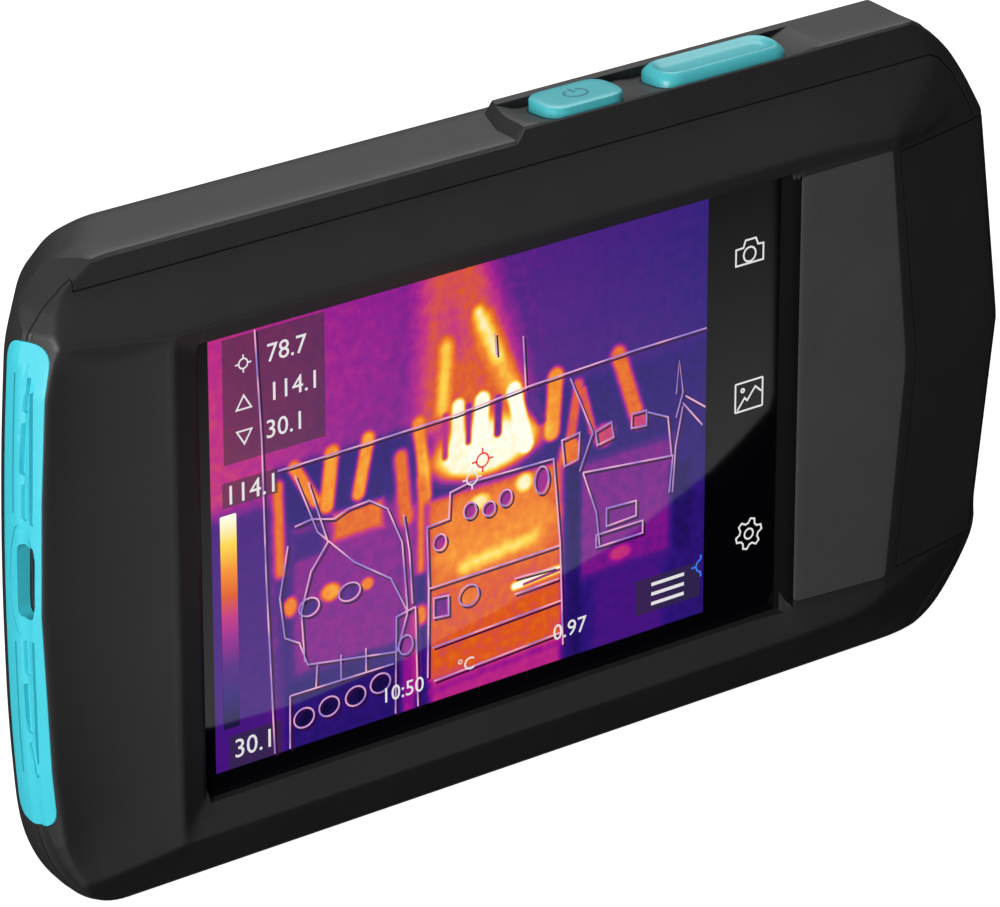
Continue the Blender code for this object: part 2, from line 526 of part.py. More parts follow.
# --- fasteners and the tripod thread --------------------------------------------------------------------------
tripod_insert = rod("tripod_insert", TRIPOD, 4.5 * MM, -38.9 * MM, -32.5 * MM, "Z", look=BRASS)
boolean(tripod_insert, rod("tripod_thread", TRIPOD, 2.6 * MM, -50 * MM, -34 * MM, "Z", cutter=True))
for number, (x, z) in enumerate(SHELL_SCREWS, 1):
    at = Vector((x, 0, z)) * MM
    screw = rod(f"shell_screw_{number}", at, 0.9 * MM, 0.3 * MM, 15.2 * MM, look=STEEL, sides=12)
    head = rod(f"screw_head_{number}", at, 1.9 * MM, 14.6 * MM, 16.2 * MM, cutter=True, sides=16)
    boolean(screw, head, "UNION")
for number, (x, z) in enumerate(BOARD_SCREWS, 1):
    at = Vector((x, 0, z)) * MM
    screw = rod(f"board_screw_{number}", at, 0.8 * MM, 5.2 * MM, 10.6 * MM, look=STEEL, sides=12)
    head = rod(f"board_head_{number}", at, 1.7 * MM, 10.3 * MM, 11.2 * MM, cutter=True, sides=16)
    boolean(screw, head, "UNION")
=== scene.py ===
"""Pocket thermal imaging camera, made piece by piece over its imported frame.

Lengths in the sections are millimetres about the centre of the screen picture: X to the right along the
screen, Y away from the viewer into the case, Z up. solid() puts them in the frame's metres.
"""
import json
import math

import bmesh
import bpy
import numpy as np
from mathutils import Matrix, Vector

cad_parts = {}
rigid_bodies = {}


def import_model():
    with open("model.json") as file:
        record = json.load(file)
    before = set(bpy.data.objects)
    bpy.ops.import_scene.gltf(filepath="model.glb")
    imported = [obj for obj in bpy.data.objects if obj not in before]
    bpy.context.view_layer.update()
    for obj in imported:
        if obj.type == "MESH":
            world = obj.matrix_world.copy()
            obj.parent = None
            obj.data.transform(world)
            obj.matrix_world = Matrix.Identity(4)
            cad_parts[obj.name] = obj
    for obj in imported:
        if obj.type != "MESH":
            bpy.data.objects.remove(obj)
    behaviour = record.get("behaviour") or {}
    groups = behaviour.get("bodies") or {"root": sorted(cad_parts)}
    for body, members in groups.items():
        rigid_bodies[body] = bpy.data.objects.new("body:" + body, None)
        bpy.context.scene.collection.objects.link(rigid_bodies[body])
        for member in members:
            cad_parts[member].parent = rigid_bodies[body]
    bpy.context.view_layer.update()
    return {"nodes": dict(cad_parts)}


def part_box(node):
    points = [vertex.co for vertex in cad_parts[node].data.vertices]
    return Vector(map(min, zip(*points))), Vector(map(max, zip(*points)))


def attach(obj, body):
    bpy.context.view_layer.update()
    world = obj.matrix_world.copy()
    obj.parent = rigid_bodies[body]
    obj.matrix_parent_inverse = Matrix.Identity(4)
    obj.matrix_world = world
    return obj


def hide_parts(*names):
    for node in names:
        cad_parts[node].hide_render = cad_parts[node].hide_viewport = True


for old in list(bpy.data.objects):
    bpy.data.objects.remove(old, do_unlink=True)
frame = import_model()

# --- The case's form ----------------------------------------------------------------------------------------
# Both shells, the connector door, the thumb pad and the end insert are moulded to one outer form, so it is
# worked out once here: side walls swept round the outline, met by the sculpted face round the screen.
panel_low, panel_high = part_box("lcd_module")
GLASS_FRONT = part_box("cover_glass")[0].y
CENTRE = np.array([(panel_low.x + panel_high.x) / 2, GLASS_FRONT, (panel_low.z + panel_high.z) / 2])


def solid(name, points, faces, soft=30):
    """Closed mesh from points in millimetres; doubles are merged and faces turned outwards."""
    mesh = bpy.data.meshes.new(name)
    mesh.from_pydata((np.asarray(points, float).reshape(-1, 3) * 0.001 + CENTRE).tolist(), [], faces)
    work = bmesh.new()
    work.from_mesh(mesh)
    bmesh.ops.remove_doubles(work, verts=work.verts, dist=1e-6)
    bmesh.ops.recalc_face_normals(work, faces=work.faces)
    if work.calc_volume(signed=True) < 0:
        bmesh.ops.reverse_faces(work, faces=work.faces)
    work.to_mesh(mesh)
    work.free()
    piece = bpy.data.objects.new(name, mesh)
    bpy.context.scene.collection.objects.link(piece)
    shade(piece, soft)
    return piece


def shade(piece, soft):
    """Smooth shading, broken at edges sharper than soft degrees."""
    piece.data.shade_smooth()
    piece.data.set_sharp_from_angle(angle=math.radians(soft))


def grid_quads(rows, cols, around=False):
    """Quads of a grid of points stored row by row; around joins each row's end to its start."""
    r, c = np.meshgrid(np.arange(rows - 1), np.arange(cols if around else cols - 1), indexing="ij")
    d = (c + 1) % cols
    return np.stack([r * cols + c, r * cols + d, (r + 1) * cols + d, (r + 1) * cols + c],
                    -1).reshape(-1, 4).tolist()


def sweep(name, rings, soft=30):
    """Closed rings of points joined in order, with a flat cap on the first and on the last."""
    rows, cols, _ = rings.shape
    caps = [list(range(cols)), list(range((rows - 1) * cols, rows * cols))]
    return solid(name, rings, grid_quads(rows, cols, True) + caps, soft)


def slab(name, front, back, soft=30):
    """Two grids of equal size joined along their four edges into one closed solid."""
    rows, cols, _ = front.shape
    count = rows * cols
    index = np.arange(count).reshape(rows, cols)
    rim = np.concatenate([index[0], index[1:, -1], index[-1, -2::-1], index[-2:0:-1, 0]])
    quads = np.array(grid_quads(rows, cols))
    walls = np.stack([rim, np.roll(rim, -1), np.roll(rim, -1) + count, rim + count], -1)
    faces = np.concatenate([quads, quads + count, walls]).tolist()
    return solid(name, np.concatenate([front.reshape(-1, 3), back.reshape(-1, 3)]), faces, soft)


def prism(name, outline, start, end, axis="Y", soft=30):
    """Flat outline pushed along an axis: its two coordinates are the other two axes, in X, Y, Z order."""
    flat = np.asarray(outline, float)
    at = "XYZ".index(axis)
    return sweep(name, np.stack([np.insert(flat, at, depth, axis=1) for depth in (start, end)]), soft)


def turned(name, centre, profile, axis="Y", sides=48, soft=30):
    """Profile of (radius, depth) pairs turned about an axis through centre, given by its two other
    coordinates."""
    radius, depth = np.array(profile, float).T
    angle = np.linspace(0, 2 * math.pi, sides, endpoint=False)
    ring = np.stack([np.cos(angle), np.sin(angle)], -1)
    at = "XYZ".index(axis)
    flat = radius[:, None, None] * ring[None] + np.asarray(centre, float)
    return sweep(name, np.insert(flat, at, np.broadcast_to(depth[:, None], flat.shape[:2]), axis=2), soft)


def cut(piece, tool, how="DIFFERENCE", keep=False):
    """Joins or cuts piece with tool at once; the tool is thrown away unless it is kept."""
    step = piece.modifiers.new("cut", "BOOLEAN")
    step.operation, step.object, step.solver = how, tool, "MANIFOLD"
    made = bpy.data.meshes.new_from_object(piece.evaluated_get(bpy.context.evaluated_depsgraph_get()))
    piece.modifiers.clear()
    piece.data = made
    if not keep:
        bpy.data.objects.remove(tool)
    return piece


def twin(piece, name):
    """Copy of a piece with a mesh of its own."""
    made = bpy.data.objects.new(name, piece.data.copy())
    bpy.context.scene.collection.objects.link(made)
    return made


def corner_arcs(spot, reach, count):
    """Rounds each corner of a closed path with count points of the quadratic arc between the points reach
    away along its two sides. The reach is held under half of each side."""
    before, after = np.roll(spot, 1, 0) - spot, np.roll(spot, -1, 0) - spot
    long_b, long_a = np.linalg.norm(before, axis=1), np.linalg.norm(after, axis=1)
    start = spot + before * (np.minimum(reach, 0.48 * long_b) / long_b)[:, None]
    end = spot + after * (np.minimum(reach, 0.48 * long_a) / long_a)[:, None]
    t = np.linspace(0, 1, count)[None, :, None]
    arcs = (1 - t) ** 2 * start[:, None] + 2 * t * (1 - t) * spot[:, None] + t * t * end[:, None]
    return arcs.reshape(-1, 2)


def rounded_path(corners, longest=1.5):
    """Closed path through corners (u, v, reach), each rounded over its reach, with a point at least every
    longest millimetres."""
    spot, reach = np.array(corners, float)[:, :2], np.array(corners, float)[:, 2]
    path = corner_arcs(spot, reach, 7)
    path = np.concatenate([path, path[:1]])
    run = np.concatenate([[0], np.cumsum(np.linalg.norm(np.diff(path, axis=0), axis=1))])
    at = np.unique(np.concatenate([run[:-1], np.arange(0, run[-1] - 0.1, longest)]).round(3))
    return np.stack([np.interp(at, run, path[:, 0]), np.interp(at, run, path[:, 1])], -1)


SIDES = rounded_path([
    (-48.0, 39.2, 2.0), (8.5, 39.2, 0), (9.6, 39.2, 0), (66.8, 39.2, 0), (69.2, 39.2, 1.4), (72.6, 36.1, 2.0),
    (75.4, 32.2, 2.0), (78.8, 26.3, 1.2), (82.4, -0.9, 3.0), (79.1, -28.3, 1.2), (76.6, -33.4, 3.0),
    (73.4, -37.4, 3.0), (68.6, -39.2, 4.0), (-48.7, -39.2, 2.5), (-52.6, -37.0, 2.5), (-55.9, -32.8, 3.0),
    (-58.1, -27.2, 4.0), (-59.0, -15.0, 6.0), (-59.2, 2.0, 8.0), (-58.7, 18.0, 8.0), (-57.8, 30.4, 2.0),
    (-56.4, 34.8, 1.6), (-52.6, 38.2, 1.8),
])


def side_ring(path, y, left, right, top, bottom, vee):
    """The outline at depth y, drawn in from each side in proportion to how near that side a point is, with
    the right-hand vee flattened by vee and the button block standing 1.4 mm above the top."""
    x, z = path.T
    x = np.where(x > 78.8, 78.8 + (x - 78.8) * vee, x)
    across = np.clip((x + 59.2) / 141.6, 0, 1)
    upward = np.clip((z + 39.2) / 78.4, 0, 1)
    block = np.clip((x - 8.5) / 1.1, 0, 1) * np.clip((69.4 - x) / 2.5, 0, 1) * np.clip((10.6 - y) / 0.2, 0, 1)
    raised = 1.4 * block * (z > 38.9)
    return np.stack([x + left * (1 - across) - right * across, np.full_like(x, y),
                     z + bottom * (1 - upward) - top * upward + raised], -1)


def side_body(name, path, inset=0.0):
    """Rings of the outline from front to back: straight to y 5.4, then leaning in to the flat back, with each
    change of slope eased over 0.7 mm and the last edge rounded."""
    depths = np.array([-5.0, 1.45, 1.8, 2.4, 4.0, 5.4, 6.0, 7.0, 8.9, 10.38, 10.62, 11.6, 12.2, 12.8, 14.2,
                       15.2,
                       15.8, 16.4, 18.0, 19.7, 20.1, 20.4, 20.6])
    knots = [-6, 5.4, 12.2, 15.8, 20.6]

    def eased(values):
        steps = [np.interp(np.minimum(depths + d, 20.6), knots, values) for d in (-0.7, -0.35, 0, 0.35, 0.7)]
        return np.mean(steps, axis=0)
    edge = np.interp(depths, [1.45, 1.8, 2.4, 19.7, 20.1, 20.4, 20.6],
                     [0.45, 0.14, 0, 0, 0.12, 0.4, 0.9]) + inset
    left, right = eased([0, 0, 5.4, 8.3, 12.2]), eased([0, 0, 0, 2.7, 6.4])
    top, bottom = eased([0, 0, 0, 2.4, 5.7]), eased([0, 0, 0, 0, 3.8])
    vee = np.interp(depths, [2.4, 5.4, 12.2], [1, 0.8, 0.1])
    rings = [side_ring(path, y, left[i] + edge[i], right[i] + edge[i], top[i] + edge[i], bottom[i] + edge[i],
                       vee[i])
             for i, y in enumerate(depths)]
    return sweep(name, np.stack(rings))


def soft_max(a, b, ease):
    """The larger of a and b, with the corner between them rounded over about ease."""
    return (a + b + np.sqrt((a - b) ** 2 + ease * ease)) / 2


def soft_min(a, b, ease):
    """The smaller of a and b, rounded in the same way."""
    return -soft_max(-a, -b, ease)


def left_crest(z):
    """X of the rounded edge where the face turns onto the left end."""
    return np.interp(z, [-46, -38.3, -36.5, -34, -31, -28.3, -19, 0, 13.7, 25.4, 32.2, 34.5, 36.5, 38.5, 46],
                     [-43, -50.4, -52.4, -54.4, -55.8, -56.6, -57.4, -58.1, -57.6, -56.8, -55.4, -53.6, -51.2,
                      -48, -38])


def pad_edge(z):
    """X of the crease on the right of the thumb pad, a shallow vee."""
    return np.interp(z, [-40, -28.9, -0.9, 26.6, 40], [61.0, 62.0, 64.4, 61.4, 60.2])


def face_depth(x, z):
    """Depth Y of the sculpted face. A ridge line runs above and below the screen; outside it a band slopes
    back to the seam, inside it a wall slopes in to the floor. The floor is the hollow left wing, the
    screen, the thumb pad and the slope that falls away to the right. Planes cut off the left end and
    the right-hand corners."""
    crest = left_crest(z)
    wing_t = np.clip((x - crest) / (-41.2 - crest), 0, 1)
    wing = -1.3 * (1 - wing_t) ** 2 + 2 * wing_t * (1 - wing_t) * 0.95 - 2.5 * wing_t ** 2

    def middle(u):
        return np.interp(u, [-41.2, -36.9, -36.6, 46.4, 46.7, 47.2, 47.7, 90],
                         [-2.5, -0.8, 0, 0, -1.1, -1.65, -1.8, -1.8])
    floor = np.mean([np.where(x + d < -41.2, wing, middle(x + d)) for d in (-0.5, -0.25, 0, 0.25, 0.5)],
                    axis=0)
    away = -1.8 + 0.19 * (x - pad_edge(z))
    rim_x = np.interp(z, [-28.3, -0.9, 26.3], [79.1, 82.4, 78.8]) - 1.1
    away = soft_max(away, -1.8 + 0.19 * (rim_x - pad_edge(z)) + 1.0 * (x - rim_x), 0.2)
    floor = np.where(x > 50, soft_max(floor, away, 0.12), floor)

    ridge_y = np.interp(x, [-58, -41, 50, 62, 67, 71.5, 74.5, 80], [-1.5, -3, -3, -2.6, -1.7, -0.7, 0, 1.0])
    ridge_z = np.interp(x, [-58, -41, 50, 62, 67, 71.5, 74.5, 80],
                        [31.8, 29.6, 29.5, 28.4, 28.5, 29.8, 30.6, 31.5])
    band = ridge_y + (z - ridge_z) * (1.2 - ridge_y) / (35.9 - ridge_z)
    band = soft_min(band, 1.2 + 0.07 * (z - 35.9), 0.1)
    wall = ridge_y + 0.55 * (ridge_z - z)
    wall = np.where(x < 46.8, soft_max(wall, -1.8 + 3 * (27.2 - z), 0.1), wall)
    wall = np.where(x < -37, ridge_y + 0.62 * (ridge_z - z), wall)

    low_y = np.interp(x, [-58, -50.6, -42, -38, 50, 62, 70, 76, 82],
                      [-1.4, -2.2, -2.9, -3, -3, -2.4, -1.1, 0.3, 1.2])
    low_z = np.interp(x, [-58, -50.6, -42, -38, 50, 62, 70, 76, 82],
                      [-34.6, -33.6, -32.4, -32, -32, -31.9, -31, -29.6, -29])
    low_band = low_y + (low_z - z) * (1.2 - low_y) / (38.3 + low_z)
    low_band = soft_min(low_band, 1.2 + 0.25 * (-38.3 - z), 0.1)
    slope = np.interp(x, [-46, -36, 43, 47, 62], [0.5, 0.62, 0.62, 0.42, 0.34])
    low_wall = low_y + slope * (z - low_z)

    reach = np.interp(x, [-56, -44, -38], [1.2, 0.8, 0.2])
    inner = soft_min(soft_min(floor, wall, reach), low_wall, np.interp(x, [-56, -42, -38], [2.2, 1.4, 0.15]))
    face = np.where(z > 0, soft_max(inner, band, 0.22), soft_max(inner, low_band, 0.3))
    face = np.where(z > ridge_z + 1.5, band, np.where(z < low_z - 1.5, low_band, face))
    face = soft_max(face, -1.3 + 2.0 * (crest - x), 0.7)
    face = soft_max(face, 1.2 + 0.33 * ((x - 70) * 0.84 + (z - 35.8) * 0.54), 0.3)
    return soft_max(face, 1.2 + 0.33 * ((x - 77) * 0.726 - (z + 28.5) * 0.688), 0.3)


def runs(*stretches):
    """Grid lines: each stretch is (start, step) and runs to the next one's start."""
    lines = [np.arange(a, b - 0.4 * step, step) for (a, step), (b, _) in zip(stretches, stretches[1:])]
    return np.concatenate(lines + [[stretches[-1][0]]])


across = runs((-66, 3), (-60, 0.6), (-58.8, 0.2), (-56.4, 0.6), (-42.2, 0.25), (-40.2, 0.6), (-37.4, 0.2),
              (-36.4, 3),
              (45.8, 0.2), (48.2, 1.4), (60.6, 0.12), (62.4, 0.7), (75.5, 0.3), (80.3, 0.7), (88, 1))
upward = runs((-46, 2), (-40, 0.4), (-39, 0.2), (-37.6, 0.6), (-34.4, 0.3), (-33, 0.15), (-31.2, 0.25),
              (-26.4, 1.1),
              (24, 0.4), (26, 0.15), (30.2, 0.2), (31, 0.4), (35.2, 0.15), (36.6, 0.5), (42, 2), (48, 1))
U, Z = np.meshgrid(across, upward)
bend_left = np.interp(U, [-57, -43], [1, 0]) * (left_crest(Z) + 57.6)
bend_right = np.interp(U, [50, 60.5, 62.4, 79], [0, 1, 1, 1]) * (pad_edge(Z) - 61.5)
X = U + bend_left + bend_right
face = np.stack([X, face_depth(X, Z), Z], -1)
behind = np.stack([X, np.full_like(X, 40.0), Z], -1)
case_form = cut(side_body("case_form", SIDES), slab("face_form", face, behind), "INTERSECT")

# --- Camera, floor and light --------------------------------------------------------------------------------
# The camera looks from the left and above, through a long lens. A pale floor runs out of sight, a broad
# soft light hangs overhead with a weaker one at the left, and a card lying in front is mirrored in the
# glass as a soft glare.
def look(name, azimuth, elevation, target, distance, focal):
    """Camera on a sphere round target, in millimetres; azimuth 0 looks along +Y."""
    turn, rise = math.radians(azimuth), math.radians(elevation)
    back = np.array([math.sin(turn) * math.cos(rise), -math.cos(turn) * math.cos(rise), math.sin(rise)])
    camera = bpy.data.objects.new(name, bpy.data.cameras.new(name))
    bpy.context.scene.collection.objects.link(camera)
    camera.location = (np.array(target) + back * distance) * 0.001 + CENTRE
    camera.rotation_euler = Vector(back).to_track_quat("Z", "Y").to_euler()
    camera.data.lens, camera.data.sensor_width = focal, 36
    camera.data.clip_start, camera.data.clip_end = 0.05, 50
    bpy.context.scene.camera = camera


look("camera", -37.19, 23.96, (4.909, 0.0, 2.326), 706.9, 223.42)
bpy.context.scene.view_settings.view_transform = "Standard"
FLOOR = -39.2


def glowing(name, colour, strength, diffuse=0.0):
    """Plain stage material that gives off light, with a share of ordinary white under it."""
    made = bpy.data.materials.new(name)
    made.use_nodes = True
    shader = made.node_tree.nodes["Principled BSDF"]
    shader.inputs["Base Color"].default_value = (diffuse, diffuse, diffuse, 1)
    shader.inputs["Roughness"].default_value = 0.9
    shader.inputs["Specular IOR Level"].default_value = 0
    shader.inputs["Emission Color"].default_value = (*colour, 1)
    shader.inputs["Emission Strength"].default_value = strength
    return made


def staged(name, outline, z, material, **seen):
    """Flat stage sheet; seen switches off the kinds of ray that must not meet it."""
    points = [(x * 0.001 + CENTRE[0], y * 0.001 + CENTRE[1], z * 0.001 + CENTRE[2]) for x, y in outline]
    mesh = bpy.data.meshes.new(name)
    mesh.from_pydata(points, [], [list(range(len(points)))])
    sheet = bpy.data.objects.new(name, mesh)
    bpy.context.scene.collection.objects.link(sheet)
    mesh.materials.append(material)
    for ray, shown in seen.items():
        setattr(sheet, "visible_" + ray, shown)
    return sheet


wide = [(-4000, -4000), (4000, -4000), (4000, 4000), (-4000, 4000)]
staged("floor", wide, FLOOR - 0.02, glowing("floor_white", (1, 1, 1), 0.93, 0.35), glossy=False,
       diffuse=False)
staged("floor_in_mirror", wide, FLOOR - 0.6, glowing("mirror_dark", (0, 0, 0), 0.0), camera=False,
       diffuse=False,
       shadow=False, transmission=False)
card = staged("glare_card", [(-14, -32), (-2, -31), (15, -33), (44, -40), (60, -45), (80, -54), (89, -59),
                             (99, -65),
                             (103, -69), (153, -129), (175, -155), (175, -300), (20, -300), (-60, -60)],
                             FLOOR - 0.3,
              glowing("glare", (1, 1, 1), 1.0), camera=False, diffuse=False, shadow=False, transmission=False)
tree = card.data.materials[0].node_tree
place = tree.nodes.new("ShaderNodeSeparateXYZ")
tree.links.new(tree.nodes.new("ShaderNodeTexCoord").outputs["Object"], place.inputs[0])
fade = tree.nodes.new("ShaderNodeMapRange")
for socket, value in zip(fade.inputs, (0, CENTRE[1] - 0.130, CENTRE[1] - 0.030, 0.18, 0.85)):
    socket.default_value = value
tree.links.new(place.outputs["Y"], fade.inputs["Value"])
tree.links.new(fade.outputs["Result"], tree.nodes["Principled BSDF"].inputs["Emission Color"])
dome = bpy.data.meshes.new("backdrop")
ball = bmesh.new()
bmesh.ops.create_uvsphere(ball, u_segments=32, v_segments=16, radius=6.0)
ball.to_mesh(dome)
ball.free()
backdrop = bpy.data.objects.new("backdrop", dome)
bpy.context.scene.collection.objects.link(backdrop)
dome.materials.append(glowing("backdrop_white", (1, 1, 1), 1.0))
backdrop.visible_diffuse = backdrop.visible_glossy = backdrop.visible_shadow = backdrop.visible_transmission = False
world = bpy.data.worlds.new("studio")
bpy.context.scene.world = world
world.use_nodes = True
world.node_tree.nodes["Background"].inputs["Color"].default_value = (1, 1, 1, 1)
world.node_tree.nodes["Background"].inputs["Strength"].default_value = 0.12


def softbox(name, place, toward, size, watts):
    """Rectangular area light at place, aimed at toward, in millimetres."""
    lamp = bpy.data.lights.new(name, "AREA")
    lamp.shape, lamp.size, lamp.size_y, lamp.energy = "RECTANGLE", size[0] * 0.001, size[1] * 0.001, watts
    box = bpy.data.objects.new(name, lamp)
    bpy.context.scene.collection.objects.link(box)
    box.location = np.array(place) * 0.001 + CENTRE
    box.rotation_euler = Vector(np.array(place) - np.array(toward)).to_track_quat("Z", "Y").to_euler()


softbox("overhead", (330, 240, 640), (10, 0, 0), (600, 500), 4.6)
softbox("left_fill", (-690, -330, 160), (0, 0, 0), (420, 420), 8.2)

# --- Materials' arithmetic ----------------------------------------------------------------------------------
# Every finish below is written as sums over place: moulded grain, brushed metal, the glowing picture.


class Value:
    """A number at every point of a material. Arithmetic on it adds Math nodes."""

    def __init__(self, paint, out):
        self.paint, self.out = paint, out

    def do(self, how, other=0.0, third=0.0, clamp=False):
        """This value first, then other and third, through one Math node."""
        node = self.paint.node("Math", {"operation": how, "use_clamp": clamp}, self, other, third)
        return Value(self.paint, node.outputs[0])

    def flipped(self, how, other):
        """The same with this value second, for 1 - value."""
        node = self.paint.node("Math", {"operation": how}, other, self)
        return Value(self.paint, node.outputs[0])

    def __add__(self, other):
        return self.do("ADD", other)

    def __sub__(self, other):
        return self.do("SUBTRACT", other)

    def __mul__(self, other):
        return self.do("MULTIPLY", other)

    def __truediv__(self, other):
        return self.do("DIVIDE", other)

    def __radd__(self, other):
        return self.flipped("ADD", other)

    def __rsub__(self, other):
        return self.flipped("SUBTRACT", other)

    def __rmul__(self, other):
        return self.flipped("MULTIPLY", other)

    def __rtruediv__(self, other):
        return self.flipped("DIVIDE", other)

    def within(self, low, high, start=0.0, end=1.0):
        """Eased from start, where the value is low, to end, where it is high."""
        node = self.paint.node("MapRange", {"interpolation_type": "SMOOTHSTEP"}, self, low, high, start, end)
        return Value(self.paint, node.outputs[0])


class Paint:
    """A Principled material being built. place holds X, Y and Z in millimetres about the screen's centre."""

    def __init__(self, name, **fixed):
        self.made = bpy.data.materials.new(name)
        self.made.use_nodes = True
        self.tree = self.made.node_tree
        self.shader = self.tree.nodes["Principled BSDF"]
        for socket, value in fixed.items():
            self.set(socket.replace("_", " "), value)
        coordinates = self.tree.nodes.new("ShaderNodeTexCoord").outputs["Object"]
        scaled = self.node("VectorMath", {"operation": "MULTIPLY_ADD"}, coordinates, (1000, 1000, 1000),
                           tuple(-1000 * CENTRE))
        self.at = scaled.outputs[0]
        parts = self.node("SeparateXYZ", {}, self.at)
        self.x, self.y, self.z = (Value(self, out) for out in parts.outputs)

    def node(self, kind, settings, *sockets, **named):
        """Adds one node: its type, its settings, then its inputs in order or by name."""
        made = self.tree.nodes.new("ShaderNode" + kind)
        for setting, value in settings.items():
            setattr(made, setting, value)
        for socket, value in list(zip(made.inputs, sockets)) + [(made.inputs[k], v) for k,
                                                                v in named.items()]:
            if isinstance(value, Value):
                value = value.out
            if isinstance(value, bpy.types.NodeSocket):
                self.tree.links.new(value, socket)
            else:
                socket.default_value = value
        return made

    def set(self, socket, value):
        """Links a value to the shader's socket, or sets a plain number or colour on it."""
        value = value.out if isinstance(value, Value) else value
        if isinstance(value, bpy.types.NodeSocket):
            self.tree.links.new(value, self.shader.inputs[socket])
        else:
            self.shader.inputs[socket].default_value = (*value, 1) if isinstance(value, tuple) else value

    def noise(self, size, detail=2.0, stretch=(1, 1, 1)):
        """Cloudy noise from 0 to 1 whose features are about size millimetres."""
        spread = self.node("VectorMath", {"operation": "MULTIPLY"}, self.at, stretch).outputs[0]
        made = self.node("TexNoise", {}, Vector=spread, Scale=1 / size, Detail=detail)
        return Value(self, made.outputs["Fac"])

    def colour(self, factor, low, high):
        """Colour that runs from low to high with factor."""
        low = low if isinstance(low, bpy.types.NodeSocket) else (*low, 1)
        high = high if isinstance(high, bpy.types.NodeSocket) else (*high, 1)
        made = self.tree.nodes.new("ShaderNodeMix")
        made.data_type = "RGBA"
        made.clamp_factor = True
        for socket, value in ((made.inputs["Factor"], factor), (made.inputs[6], low), (made.inputs[7], high)):
            value = value.out if isinstance(value, Value) else value
            if isinstance(value, bpy.types.NodeSocket):
                self.tree.links.new(value, socket)
            else:
                socket.default_value = value
        return made.outputs[2]

    def ramp(self, factor, stops):
        """Colour read at factor off a ramp of (position, colour) stops."""
        made = self.node("ValToRGB", {}, factor)
        band = made.color_ramp
        band.elements.remove(band.elements[0])
        band.elements[0].position = stops[0][0]
        band.elements[0].color = (*stops[0][1], 1)
        for position, colour in stops[1:]:
            band.elements.new(position).color = (*colour, 1)
        return made.outputs["Color"]

    def bump(self, height, depth):
        """Surface relief: height 0 to 1 stands for depth millimetres."""
        made = self.node("Bump", {}, Strength=1.0, Distance=depth * 0.001, Height=height)
        self.set("Normal", made.outputs["Normal"])


def plastic(name, dark, light, roughness, grain=0.35, depth=0.012, **fixed):
    """Moulded plastic: spark-eroded grain, faint cloudiness in colour and sheen."""
    paint = Paint(name, **fixed)
    fine, broad = paint.noise(grain, 3.0), paint.noise(9.0, 2.0)
    paint.set("Base Color", paint.colour(fine * 0.6 + broad * 0.4, dark, light))
    paint.set("Roughness", fine * 0.12 + broad * 0.08 + (roughness - 0.1))
    paint.bump(fine, depth)
    return paint.made


def metal(name, dark, light, roughness, stretch=(1, 1, 1), grain=0.4, depth=0.006):
    """Metal with streaks along the directions that stretch makes small."""
    paint = Paint(name, Metallic=1.0)
    streak = paint.noise(grain, 4.0, stretch)
    paint.set("Base Color", paint.colour(streak, dark, light))
    paint.set("Roughness", streak * 0.2 + (roughness - 0.1))
    paint.bump(streak, depth)
    return paint.made


GRAPHITE = plastic("graphite_plastic", (0.017, 0.017, 0.0175), (0.026, 0.026, 0.0265), 0.52,
                   Specular_IOR_Level=0.38)
DOOR_GRAPHITE = plastic("door_plastic", (0.017, 0.017, 0.0175), (0.026, 0.026, 0.0265), 0.5)
RUBBER = plastic("pad_rubber", (0.046, 0.046, 0.047), (0.070, 0.070, 0.071), 0.64, 0.28, 0.02)
CYAN = plastic("cyan_plastic", (0.035, 0.44, 0.53), (0.06, 0.54, 0.64), 0.42, 0.4, 0.008)
STEEL = metal("bright_steel", (0.42, 0.42, 0.43), (0.60, 0.60, 0.61), 0.3, (1, 0.15, 1))
BRASS = metal("brass_insert", (0.50, 0.34, 0.13), (0.66, 0.47, 0.20), 0.32, (1, 1, 0.2))
MAGNESIUM = metal("cast_magnesium", (0.24, 0.24, 0.25), (0.36, 0.36, 0.37), 0.5, (1, 1, 1), 0.7, 0.02)
LENS_METAL = metal("lens_metal", (0.05, 0.05, 0.055), (0.09, 0.09, 0.095), 0.35, (1, 0.1, 1), 0.5)
GERMANIUM = metal("germanium", (0.20, 0.19, 0.21), (0.27, 0.25, 0.29), 0.12, (1, 1, 1), 3.0, 0.001)
CHIP = plastic("moulded_chip", (0.012, 0.012, 0.013), (0.022, 0.022, 0.023), 0.55, 0.2)
CELL = plastic("cell_wrap", (0.03, 0.06, 0.12), (0.05, 0.09, 0.17), 0.35, 1.5, 0.01)
PLATE = plastic("gloss_plate", (0.008, 0.008, 0.009), (0.014, 0.014, 0.015), 0.16, 0.6, 0.002)
LAMP = plastic("lamp_lens", (0.62, 0.62, 0.58), (0.78, 0.78, 0.74), 0.2, 0.8, 0.02)
DARK_GLASS = plastic("dark_glass", (0.004, 0.004, 0.006), (0.008, 0.008, 0.012), 0.1, 2.0, 0.0)
board = Paint("circuit_board", Roughness=0.4)
lanes = (board.x * 4.2 + board.noise(2.0, 1.0) * 6).do("SINE") * (board.z * 3.1).do("SINE")
board.set("Base Color", board.colour(lanes.within(-0.1, 0.1), (0.012, 0.07, 0.04), (0.03, 0.14, 0.07)))
board.bump(lanes.within(-0.1, 0.1), 0.02)
BOARD = board.made

